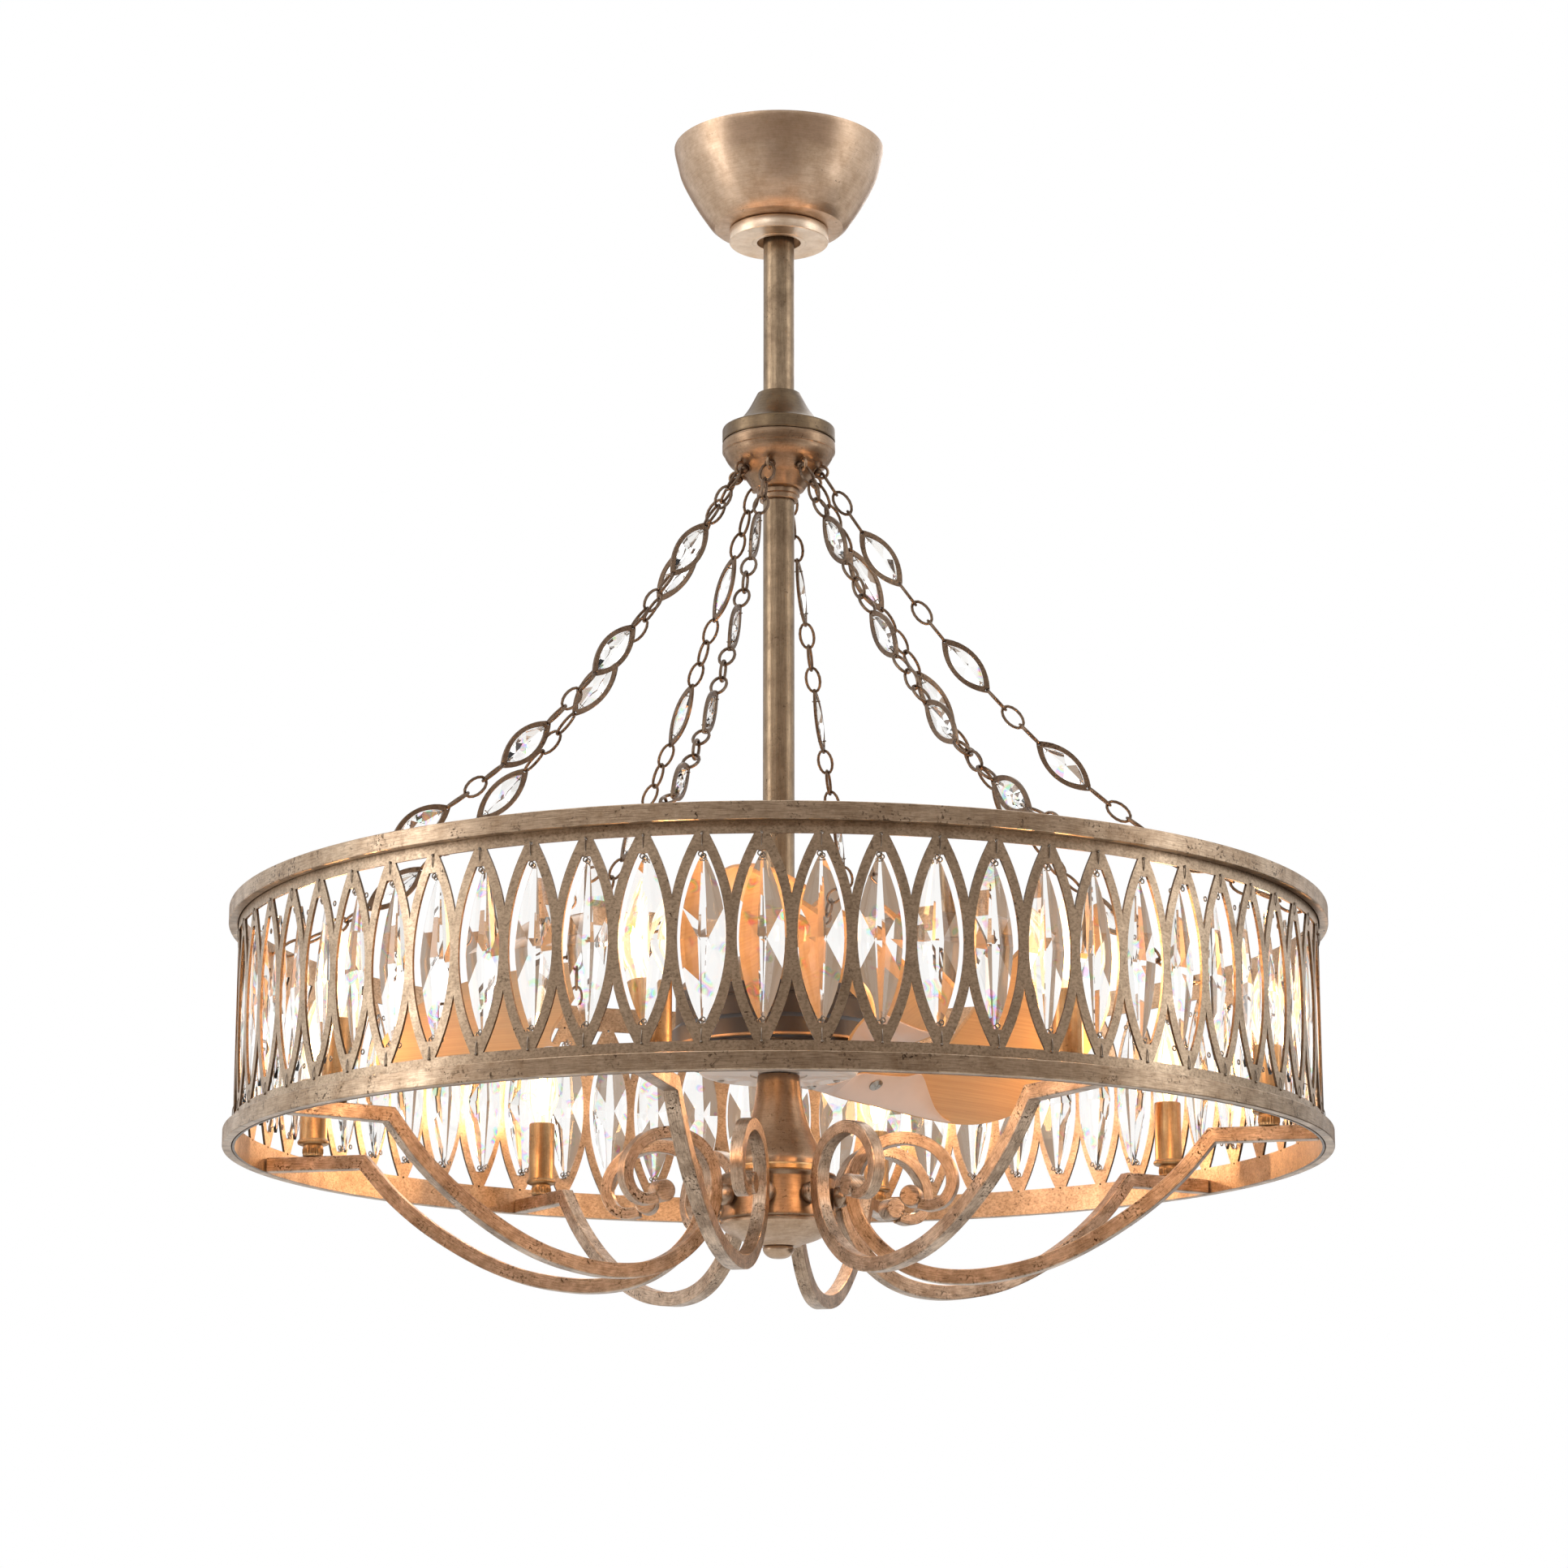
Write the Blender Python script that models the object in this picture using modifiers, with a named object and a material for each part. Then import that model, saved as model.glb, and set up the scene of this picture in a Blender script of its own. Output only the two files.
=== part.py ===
"""Chandelier ceiling fan: a drum of pointed ovals and cut crystals, hung on eight jewelled chains
and carried by eight scrolled candle arms, with a three-blade fan turning inside it.

Metres, +Z up. The origin is on the ceiling, on the axis of the downrod.
An azimuth of 0 degrees points along -Y and 90 degrees along +X."""

import math

import bmesh
import bpy
from mathutils import Matrix, Vector

# Clearances, cuts and facets
gap = 0.0003
overrun = 0.004
weld = 0.00001
fine_segments = 24
hub_segments = 16
segments = 12
coarse_segments = 8
wire_sides = 3

# Hanger: bracket, ball and pin
bracket_length = 0.110
bracket_width = 0.060
bracket_plate = 0.003
bracket_tab_width = 0.016
leg_width = 0.022
leg_thickness = 0.003
leg_lap = 0.0006
ball_radius = 0.024
ball_depth = 0.036
seat_height = 0.014
seat_drop = 0.002
seat_wall = 0.006
seat_steps = 3
ball_steps = 8
pin_radius = 0.003
rod_play = 0.0014

# Canopy, as shares of its rim radius and its height
canopy_radius = 0.0915
canopy_height = 0.077
canopy_wall = 0.0015
canopy_shares = ((1, 0), (0.985, 0.06), (0.925, 0.36), (0.80, 0.65), (0.61, 1))
canopy_hole = 0.026
ring_radius = 0.0432
ring_hole = 0.019
ring_height = 0.0100

# Downrods
rod_radius = 0.01335
rod_wall = 0.0028
rod_above_pin = 0.016
upper_rod_length = 0.262
lower_rod_length = 0.440

# Coupling cover, as shares of its radius and height, and the chain hub under it
cover_radius = 0.0486
cover_height = 0.0435
cover_wall = 0.0016
cover_shares = ((0.385, 0), (0.68, 0.47), (0.97, 0.61), (1, 0.66), (1, 1))
hub_height = 0.0432
hub_shares = ((1, 0), (1, 0.21), (0.85, 0.42), (0.45, 1))
hub_socket = 0.0128
collar_radius = 0.0165
collar_height = 0.0096
collar_socket = 0.020
wire_bore = 0.006

# Screw eyes for the chains, in the hub and in the drum
eye_radius = 0.0052
eye_wire = 0.0013
eye_corners = 6
hub_eye_reach = 0.0380
hub_eye_drop = 0.0290
rim_eye_inset = 0.0052
rim_eye_drop = 0.0085

# Fan motor
yoke_radius = 0.019
yoke_height = 0.0305
yoke_socket = 0.0215
shaft_radius = 0.009
shaft_bore = 0.004
shaft_in_neck = 0.015
core_radius = 0.060
core_height = 0.030
rotor_radius = 0.086
flange_radius = 0.090
rotor_height = 0.0552
rotor_wall = 0.006
rotor_run = 0.003
bearing_radius = 0.0175
dome_height = 0.033
dome_wall = 0.0015
dome_shares = ((0.36, 0.03), (0.62, 0.16), (0.86, 0.50), (0.985, 1))
plate_radius = 0.0667
plate_height = 0.008
plate_edge_share = 0.25
plate_run = 0.0028

# Fan blades: the outline is in shares of the reach and the half width
blade_count = 3
first_blade_azimuth = 10.0
blade_tip_gap = 0.048
blade_half_width = 0.110
blade_thickness = 0.0036
blade_pitch = 38.0
blade_rise = 0.0465
twist_start_share = 0.246
twist_end_share = 0.377
twist_cuts = 4
blade_shares = (
    (0.162, 0.814), (0.293, 0.795), (0.531, 0.864), (0.726, 0.918), (0.838, 0.877),
    (0.922, 0.709), (0.975, 0.50), (1, 0.109), (0.989, -0.182), (0.953, -0.527),
    (0.88, -0.764), (0.768, -0.90), (0.656, -0.973), (0.595, -0.982), (0.563, -0.891),
    (0.559, 0), (0.55, 0.255), (0.517, 0.418), (0.461, 0.486), (0.293, 0.50), (0.162, 0.509),
)

# Centre line below the motor: neck, ring, scroll hub, cap, finial and the rod through them
neck_radius = 0.040
neck_height = 0.0765
neck_shares = ((0.435, 0), (0.57, 0.45), (0.80, 0.73), (1, 1))
nipple_radius = 0.005
nipple_in_neck = 0.020
nipple_in_finial = 0.004
neck_ring_radius = 0.041
neck_ring_height = 0.0063
scroll_hub_radius = 0.049
scroll_hub_height = 0.038
cap_height = 0.0202
cap_shares = ((1, 0), (0.90, 0.40), (0.62, 0.76), (0.35, 1))
finial_radius = 0.013
finial_height = 0.0100
finial_shares = ((0.92, 0), (1, 0.22), (0.80, 0.66), (0.42, 0.92))

# Drum: hoops, pierced band and crystals
drum_radius = 0.457
drum_height = 0.198
hub_below_drum = 0.035
hoop_height = 0.0136
hoop_depth = 0.0085
band_thickness = 0.002
oval_count = 64
first_oval_azimuth = -1.5
strip_height = 0.0225
waist_width = 0.0088
oval_half_height = 0.067
oval_corners = 4
strip_joint = 0.0053
waist_half_height = 0.031
crystal_side_gap = 0.0013
crystal_half_height = 0.0625
crystal_half_thickness = 0.0052
crystal_belly_share = 0.36
crystal_belly_width_share = 0.90
hook_wire = 0.0014
hook_rise = 0.004

# Chains: links, and pointed-oval links that hold a small crystal
links_between = 3
last_links = 4
jewel_count = 4
link_wire = 0.0013
link_width = 0.0150
link_corners = 4
link_lap_share = 0.25
chain_sag = 0.066
jewel_length = 0.060
jewel_width = 0.025
jewel_thickness = 0.0060
jewel_belly_shares = (0.29, 0.71)
path_samples = 200

# Arms: a square bar, as shares of the way from its closest to the hub out to its bend, and of its drop
arm_count = 8
arm_bend_inset = 0.0885
arm_hub_gap = 0.0144
arm_drop = 0.1035
bar_height = 0.012
bar_width = 0.0118
bar_end_share = 0.75
bar_taper_share = 2 / 3
arm_ball_radius = 0.009
arm_ball_segments = 6
arm_ball_rings = 4
arm_ball_reach = 0.0035
scroll_disc_radius = 0.009
scroll_disc_width = 0.015
scroll_shares = (
    (1, 0.058), (0.916, -0.217), (0.825, -0.444), (0.697, -0.685), (0.563, -0.872),
    (0.427, -0.971), (0.325, -1), (0.224, -0.976), (0.132, -0.875), (0.055, -0.70),
    (0.002, -0.440), (0, -0.165), (0.055, 0.053), (0.137, 0.114), (0.215, 0.058),
    (0.265, -0.087), (0.278, -0.275), (0.247, -0.405), (0.184, -0.411),
)

# Candle sleeves and bulbs
candle_inset = 0.0425
candle_foot_radius = 0.0135
candle_foot_height = 0.002
candle_base_radius = 0.009
candle_base_height = 0.0105
sleeve_radius = 0.0117
sleeve_height = 0.053
socket_depth = 0.018
bulb_base_radius = 0.0065
bulb_radius = 0.015
bulb_height = 0.072
bulb_shares = ((0.60, 0), (1, 0.30), (0.86, 0.58), (0.34, 0.90))

# Heights of the stack, from the ceiling down
ball_z = -ball_depth
rod_top_z = ball_z + rod_above_pin
canopy_ring_z = -canopy_height - gap
hub_z = rod_top_z - upper_rod_length + hub_socket
cover_z = hub_z + gap + cover_height
collar_z = hub_z - hub_height
lower_rod_top_z = collar_z - collar_height + collar_socket
yoke_z = lower_rod_top_z - lower_rod_length + yoke_socket
rotor_top_z = yoke_z - yoke_height - rotor_run
rotor_z = rotor_top_z - rotor_height
plate_top_z = rotor_z - plate_run
neck_top_z = plate_top_z - plate_height - gap
neck_ring_z = neck_top_z - neck_height - gap
scroll_hub_z = neck_ring_z - neck_ring_height - gap
cap_z = scroll_hub_z - scroll_hub_height - gap
finial_z = cap_z - cap_height - gap
scroll_mid_z = scroll_hub_z - scroll_hub_height / 2
drum_z = scroll_mid_z + hub_below_drum

# What follows the drum's radius
cell_angle = 2 * math.pi / oval_count
band_radius = drum_radius - hoop_depth
band_flat_radius = (band_radius - band_thickness) * math.cos(cell_angle / 2)
oval_half_width = (band_radius * cell_angle - waist_width) / 2
crystal_half_width = oval_half_width - crystal_side_gap
arm_bend_radius = band_radius - arm_bend_inset
candle_reach = band_radius - candle_inset
blade_reach = candle_reach - blade_tip_gap


def linear(hex_colour):
    """The linear colour of an sRGB hex value."""
    values = [int(hex_colour[i : i + 2], 16) / 255 for i in (0, 2, 4)]
    return [v / 12.92 if v <= 0.04045 else ((v + 0.055) / 1.055) ** 2.4 for v in values] + [1]


def finish(name, hex_colour, roughness, metallic=0.0, transmission=0.0):
    material = bpy.data.materials.new(name)
    material.use_nodes = True
    shader = material.node_tree.nodes["Principled BSDF"]
    shader.inputs["Base Color"].default_value = linear(hex_colour)
    shader.inputs["Roughness"].default_value = roughness
    shader.inputs["Metallic"].default_value = metallic
    shader.inputs["Transmission Weight"].default_value = transmission
    return material


def angle_of(azimuth):
    """The turn about Z that takes +X to an azimuth in degrees."""
    return math.radians(azimuth - 90)


def collection(name):
    made = bpy.data.collections.new(name)
    bpy.context.scene.collection.children.link(made)
    return made


def add_object(name, mesh, material=None, parent=None, height=0.0, turn=0.0):
    """A part at a height below the ceiling, or a hidden cutter where it has no material."""
    made = bpy.data.objects.new(name, mesh)
    (parts if material else cutters).objects.link(made)
    made.rotation_euler.z = turn
    if material:
        mesh.materials.clear()
        mesh.materials.append(material)
    else:
        made.hide_render = True
        made.display_type = "WIRE"
    made.location.z = height
    if parent:
        made.parent = parent
        made.location.z -= parent.matrix_world.translation.z
    return made


def add_empty(name, height, parent=None):
    made = add_object(name, None, parent=parent, height=height)
    made.hide_render = False
    bpy.context.view_layer.update()
    return made


def add_turned(name, profile, material=None, parent=None, height=0.0, ring=False, sides=segments):
    """A profile of (radius, height) points turned about Z, running down its outer side."""
    mesh = bpy.data.meshes.new(name)
    edges = [(i, i + 1) for i in range(len(profile) - 1)]
    if ring:
        edges.append((len(profile) - 1, 0))
    mesh.from_pydata([(radius, 0, z) for radius, z in profile], edges, [])
    made = add_object(name, mesh, material, parent, height)
    screw = made.modifiers.new("turn", "SCREW")
    screw.steps = screw.render_steps = sides
    screw.use_merge_vertices = True
    screw.merge_threshold = weld
    return made


def scaled(shares, radius, height):
    """Profile points from shares of a radius and of a height that runs down."""
    return [(radius * r, -height * z) for r, z in shares]


def evaluated_mesh(made):
    """The mesh of an object with its modifiers applied; the object is removed."""
    bpy.context.view_layer.update()
    graph = bpy.context.evaluated_depsgraph_get()
    mesh = bpy.data.meshes.new_from_object(made.evaluated_get(graph))
    mesh.transform(made.matrix_world)
    bpy.data.objects.remove(made)
    return mesh


def tidy(bm, name):
    """The closed mesh of a bmesh, welded and facing out."""
    bmesh.ops.remove_doubles(bm, verts=bm.verts, dist=weld)
    bmesh.ops.recalc_face_normals(bm, faces=bm.faces)
    mesh = bpy.data.meshes.new(name)
    bm.to_mesh(mesh)
    bm.free()
    return mesh


def plate_mesh(name, outlines, thickness):
    """A flat plate in the XY plane: the first outline is its edge, and the others are holes."""
    curve = bpy.data.curves.new(name, "CURVE")
    curve.dimensions = "2D"
    curve.fill_mode = "BOTH"
    curve.extrude = thickness / 2
    for outline in outlines:
        spline = curve.splines.new("POLY")
        spline.points.add(len(outline) - 1)
        spline.use_cyclic_u = True
        for point, (x, y) in zip(spline.points, outline):
            point.co = (x, y, 0, 1)
    bm = bmesh.new()
    bm.from_mesh(evaluated_mesh(add_object(name, curve)))
    return tidy(bm, name)


def join(name, pieces):
    """One mesh of several (mesh, matrix) pieces that don't meet."""
    bm = bmesh.new()
    for mesh, matrix in pieces:
        start = len(bm.verts)
        bm.from_mesh(mesh)
        bm.verts.ensure_lookup_table()
        bmesh.ops.transform(bm, matrix=matrix, verts=bm.verts[start:])
    mesh = bpy.data.meshes.new(name)
    bm.to_mesh(mesh)
    bm.free()
    return mesh


def combine(made, tool, operation):
    boolean = made.modifiers.new(operation.lower(), "BOOLEAN")
    boolean.operation = operation
    boolean.object = tool
    return made


def cylinder_mesh(name, radius, length, sides=coarse_segments):
    """A cylinder along Z, centred on the origin, with a flat towards +X."""
    bm = bmesh.new()
    bmesh.ops.create_cone(
        bm, cap_ends=True, segments=sides, radius1=radius, radius2=radius, depth=length,
        matrix=Matrix.Rotation(math.pi / sides, 4, "Z"),
    )
    mesh = bpy.data.meshes.new(name)
    bm.to_mesh(mesh)
    bm.free()
    return mesh


def box_mesh(name, sizes, centre):
    bm = bmesh.new()
    bmesh.ops.create_cube(bm, size=1, matrix=Matrix.Translation(centre) @ Matrix.Diagonal((*sizes, 1)))
    mesh = bpy.data.meshes.new(name)
    bm.to_mesh(mesh)
    bm.free()
    return mesh


def ring_mesh(name, radius, stretch, wire, corners):
    """A wire ring in the XY plane, its two halves drawn apart along X."""
    bpy.ops.mesh.primitive_torus_add(
        major_segments=corners, minor_segments=wire_sides, major_radius=radius, minor_radius=wire,
        rotation=(0, 0, math.pi / corners if corners % 4 == 0 else 0),
    )
    made = bpy.context.object
    mesh = evaluated_mesh(made)
    mesh.name = name
    for vertex in mesh.vertices:
        vertex.co.x += math.copysign(stretch, vertex.co.x)
    return mesh


def loft(name, sections):
    """A four-cornered bar through (centre, half side, half rise) sections, with flat ends."""
    corners = ((1, 1), (-1, 1), (-1, -1), (1, -1))
    places = [[centre + side * a + rise * b for a, b in corners] for centre, side, rise in sections]
    bm = bmesh.new()
    face = bm.faces.new([bm.verts.new(place) for place in places[0]])
    for section in places[1:]:
        face = bmesh.ops.extrude_discrete_faces(bm, faces=[face])["faces"][0]
        for vertex, place in zip(face.verts, section):
            vertex.co = place
    bmesh.ops.holes_fill(bm, edges=bm.edges)
    return tidy(bm, name)


def rod_profile(length):
    bore = rod_radius - rod_wall
    return [(rod_radius, 0), (rod_radius, -length), (bore, -length), (bore, 0)]


def add_bracket():
    """The ceiling plate with its canopy tabs, two legs and the ring with the seat of the ball joint."""
    leg_reach = ball_radius + seat_wall
    seat_top = -seat_drop
    seat_bottom = seat_top - seat_height
    hollow = ball_radius + gap
    levels = [seat_bottom + seat_height * i / seat_steps for i in range(seat_steps + 1)]
    profile = [(leg_reach, seat_top), (leg_reach, seat_bottom)]
    profile += [(math.sqrt(hollow**2 - z**2), z) for z in levels]
    bracket = add_turned("hanger_bracket", profile, steel, height=ball_z, ring=True)
    leg_height = ball_depth + seat_drop + seat_height / 2
    for side in (-1, 1):
        centre = (side * (leg_reach + leg_thickness / 2 - leg_lap), 0, ball_depth - leg_height / 2)
        leg = box_mesh("leg", (leg_thickness, leg_width, leg_height), centre)
        combine(bracket, add_object("leg_cutter", leg, height=ball_z), "UNION")
    plate_centre = (0, 0, ball_depth - bracket_plate / 2)
    plate = box_mesh("plate", (bracket_length, bracket_width, bracket_plate), plate_centre)
    combine(bracket, add_object("plate_cutter", plate, height=ball_z), "UNION")
    wall = canopy_radius * canopy_shares[1][0] - canopy_wall
    tab_reach = wall * math.cos(math.pi / fine_segments) - gap
    tabs = box_mesh("tabs", (2 * tab_reach, bracket_tab_width, bracket_plate), plate_centre)
    combine(bracket, add_object("tab_cutter", tabs, height=ball_z), "UNION")


def add_ball_and_pin(hanger):
    bore = rod_radius + rod_play
    top = math.asin(math.sqrt(ball_radius**2 - bore**2) / ball_radius)
    steps = [top - 2 * top * i / ball_steps for i in range(ball_steps + 1)]
    profile = [(ball_radius * math.cos(a), ball_radius * math.sin(a)) for a in steps]
    ball = add_turned("hanger_ball", profile, steel, hanger, ball_z, ring=True)
    hole = cylinder_mesh("pin_hole", pin_radius + gap, 2 * ball_radius + overrun)
    hole.transform(Matrix.Rotation(math.pi / 2, 4, "X"))
    combine(ball, add_object("pin_hole", hole, parent=hanger, height=ball_z), "DIFFERENCE")
    pin = cylinder_mesh("hanger_pin", pin_radius, 2 * (ball_radius - pin_radius / 2))
    pin.transform(Matrix.Rotation(math.pi / 2, 4, "X"))
    add_object("hanger_pin", pin, steel, hanger, ball_z)


def add_canopy():
    outer = scaled(canopy_shares, canopy_radius, canopy_height)
    outer.append((canopy_hole, -canopy_height))
    inner = [(canopy_hole, canopy_wall - canopy_height)]
    inner += [(radius - canopy_wall, z) for radius, z in reversed(outer[1:-2])]
    inner.append((canopy_radius - canopy_wall, 0))
    add_turned("canopy", outer + inner, champagne, ring=True, sides=fine_segments)
    ring = [(ring_radius, 0), (ring_radius, -ring_height), (ring_hole, -ring_height), (ring_hole, 0)]
    add_turned("canopy_ring", ring, champagne, height=canopy_ring_z, ring=True)


def add_rods(fixture):
    upper = add_turned(
        "upper_downrod", rod_profile(upper_rod_length), champagne, fixture, rod_top_z, ring=True
    )
    hole = cylinder_mesh("rod_pin_hole", pin_radius + gap, 2 * rod_radius + overrun)
    hole.transform(Matrix.Rotation(math.pi / 2, 4, "X"))
    combine(upper, add_object("rod_pin_hole", hole, parent=fixture, height=ball_z), "DIFFERENCE")
    add_turned(
        "lower_downrod", rod_profile(lower_rod_length), champagne, fixture, lower_rod_top_z, ring=True
    )


def add_coupling(fixture):
    """The spun cover on the upper rod, and the solid hub that joins both rods and holds the eyes."""
    bore = rod_radius + gap
    outer = scaled(cover_shares, cover_radius, cover_height)
    inner = [(radius - cover_wall, z) for radius, z in reversed(outer[1:])]
    inner += [(bore, -cover_wall), (bore, 0)]
    add_turned("coupling_cover", outer + inner, champagne, fixture, cover_z, ring=True)
    outer = scaled(hub_shares, cover_radius, hub_height)
    collar_bottom = -hub_height - collar_height
    outer += [(collar_radius, -hub_height), (collar_radius, collar_bottom)]
    socket = collar_bottom + collar_socket + gap
    inner = [(bore, collar_bottom), (bore, socket), (wire_bore, socket)]
    inner += [(wire_bore, -hub_socket - gap), (bore, -hub_socket - gap), (bore, 0)]
    hub = add_turned("chain_hub", outer + inner, champagne, fixture, hub_z, ring=True, sides=hub_segments)
    eye = ring_mesh("hub_eye", eye_radius, 0, eye_wire, eye_corners)
    stand = Matrix.Translation((hub_eye_reach, 0, -hub_eye_drop)) @ Matrix.Rotation(math.pi / 2, 4, "X")
    eyes = [(eye, Matrix.Rotation(angle, 4, "Z") @ stand) for angle in arm_angles]
    tool = add_object("hub_eyes", join("hub_eyes", eyes), parent=fixture, height=hub_z)
    combine(hub, tool, "UNION")


def add_motor(fixture, fan):
    """The fixed shaft with its core, the shell that spins on it, and the covers above and below."""
    bore = rod_radius + gap
    shaft_end = neck_top_z - shaft_in_neck - yoke_z
    core_mid = rotor_top_z - rotor_height / 2 - yoke_z
    stator = [(bore, 0), (yoke_radius, 0), (yoke_radius, -yoke_height), (shaft_radius, -yoke_height)]
    stator += [(shaft_radius, core_mid + core_height / 2), (core_radius, core_mid + core_height / 2)]
    stator += [(core_radius, core_mid - core_height / 2), (shaft_radius, core_mid - core_height / 2)]
    stator += [(shaft_radius, shaft_end), (shaft_bore, shaft_end)]
    stator += [(shaft_bore, -yoke_socket - gap), (bore, -yoke_socket - gap)]
    add_turned("motor_stator", stator, steel, fixture, yoke_z, ring=True)

    seat = bearing_radius + gap
    inside = rotor_radius - rotor_wall
    middle = rotor_height / 2
    rotor = [(seat, rotor_height), (rotor_radius, rotor_height), (rotor_radius, middle)]
    rotor += [(flange_radius, middle - rotor_wall / 2), (flange_radius, rotor_wall), (rotor_radius, 0)]
    rotor += [(seat, 0), (seat, rotor_wall), (inside, rotor_wall), (inside, rotor_height - rotor_wall)]
    rotor += [(seat, rotor_height - rotor_wall)]
    add_turned("rotor", rotor, dark_motor, fan, rotor_z, ring=True, sides=fine_segments)
    race = [(bearing_radius, rotor_wall), (bearing_radius, 0)]
    race += [(shaft_radius + gap, 0), (shaft_radius + gap, rotor_wall)]
    add_turned("lower_bearing", race, steel, fan, rotor_z, ring=True)
    add_turned("upper_bearing", race, steel, fan, rotor_top_z - rotor_wall, ring=True)

    outer = scaled(dome_shares, rotor_radius, dome_height)
    inner = [(radius - dome_wall, z) for radius, z in reversed(outer[1:])]
    crown = outer[0][1] - dome_wall
    inner += [(outer[0][0], crown), (yoke_radius + gap, crown), (yoke_radius + gap, outer[0][1])]
    add_turned("motor_cover", outer + inner, bronze, fixture, yoke_z, ring=True, sides=fine_segments)

    edge = plate_height * plate_edge_share
    plate = [(plate_radius, 0), (plate_radius, edge - plate_height), (plate_radius - edge, -plate_height)]
    plate += [(shaft_radius + gap, -plate_height), (shaft_radius + gap, 0)]
    add_turned("motor_bottom_plate", plate, pale_plate, fixture, plate_top_z, ring=True, sides=fine_segments)


def blade_mesh():
    """One flag-shaped paddle: its neck twists flat to the tab under the rotor."""
    pitch = math.radians(blade_pitch)
    tab_drop = gap + blade_thickness / 2
    twist_line = (blade_rise + tab_drop) / math.sin(pitch)
    start = twist_start_share * blade_reach
    end = twist_end_share * blade_reach
    outline = [(blade_reach * u, blade_half_width * v) for u, v in blade_shares]
    bm = bmesh.new()
    bm.faces.new([bm.verts.new((u, v, 0)) for u, v in outline])
    for i in range(twist_cuts + 1):
        cut = start + (end - start) * i / twist_cuts
        bmesh.ops.bisect_plane(
            bm, geom=bm.verts[:] + bm.edges[:] + bm.faces[:], plane_co=(cut, 0, 0), plane_no=(1, 0, 0)
        )
    bmesh.ops.triangulate(bm, faces=bm.faces)
    for vertex in bm.verts:
        along = min(max((vertex.co.x - start) / (end - start), 0), 1)
        turned = pitch * along * along * (3 - 2 * along)
        across = vertex.co.y - twist_line
        vertex.co.y = twist_line * math.cos(pitch) + across * math.cos(turned)
        vertex.co.z = -tab_drop - across * math.sin(turned)
    bmesh.ops.recalc_face_normals(bm, faces=bm.faces)
    mesh = bpy.data.meshes.new("blade")
    bm.to_mesh(mesh)
    bm.free()
    return mesh


def add_blades(fan):
    mesh = blade_mesh()
    for i in range(blade_count):
        turn = angle_of(first_blade_azimuth + 360 * i / blade_count)
        blade = add_object(f"blade_{i + 1}", mesh, wood, fan, rotor_z, turn)
        solidify = blade.modifiers.new("thickness", "SOLIDIFY")
        solidify.thickness = blade_thickness
        solidify.offset = 0


def add_centre(fixture):
    """What hangs on the threaded rod under the motor."""
    bore = nipple_radius + gap
    shaft_hole = shaft_radius + gap
    socket = -shaft_in_neck - gap
    neck = scaled(neck_shares, neck_radius, neck_height)
    neck += [(bore, -neck_height), (bore, socket), (shaft_hole, socket), (shaft_hole, 0)]
    add_turned("neck", neck, champagne, fixture, neck_top_z, ring=True)
    ring = [(neck_ring_radius, 0), (neck_ring_radius, -neck_ring_height)]
    ring += [(bore, -neck_ring_height), (bore, 0)]
    add_turned("neck_ring", ring, brass, fixture, neck_ring_z, ring=True)
    hub = [(scroll_hub_radius, 0), (scroll_hub_radius, -scroll_hub_height)]
    hub += [(bore, -scroll_hub_height), (bore, 0)]
    scroll_hub = add_turned(
        "scroll_hub", hub, champagne, fixture, scroll_hub_z, ring=True, sides=hub_segments
    )
    scroll_hub.rotation_euler.z = arm_angles[0] + math.pi / hub_segments
    cap = scaled(cap_shares, scroll_hub_radius, cap_height) + [(bore, -cap_height), (bore, 0)]
    add_turned("hub_cap", cap, champagne, fixture, cap_z, ring=True)
    socket_end = -nipple_in_finial - gap
    finial = [(0, socket_end), (bore, socket_end), (bore, 0)]
    finial += scaled(finial_shares, finial_radius, finial_height) + [(0, -finial_height)]
    add_turned("finial", finial, champagne, fixture, finial_z)
    top = neck_ring_z + gap + nipple_in_neck
    length = top - finial_z + nipple_in_finial
    nipple = cylinder_mesh("threaded_rod", nipple_radius, length)
    add_object("threaded_rod", nipple, steel, fixture, top - length / 2)


def add_hoops(fixture):
    """Two bar hoops outside the band; their flats clear its corners."""
    inner = (band_radius + gap) / math.cos(cell_angle / 2)
    profile = [(drum_radius, hoop_height), (drum_radius, 0), (inner, 0), (inner, hoop_height)]
    turn = angle_of(first_oval_azimuth) + cell_angle / 2
    heights = {"bottom_hoop": drum_z, "top_hoop": drum_z + drum_height - hoop_height}
    for name, height in heights.items():
        hoop = add_turned(name, profile, champagne, fixture, height, ring=True, sides=oval_count)
        hoop.rotation_euler.z = turn


def oval_side(corners):
    """Points of one side of a pointed oval opening, from its lower tip to its upper one."""
    radius = (oval_half_width**2 + oval_half_height**2) / (2 * oval_half_width)
    reach = math.asin(oval_half_height / radius)
    turns = [reach * (2 * i / corners - 1) for i in range(corners + 1)]
    return [(radius * math.cos(a) - radius + oval_half_width, radius * math.sin(a)) for a in turns]


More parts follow.
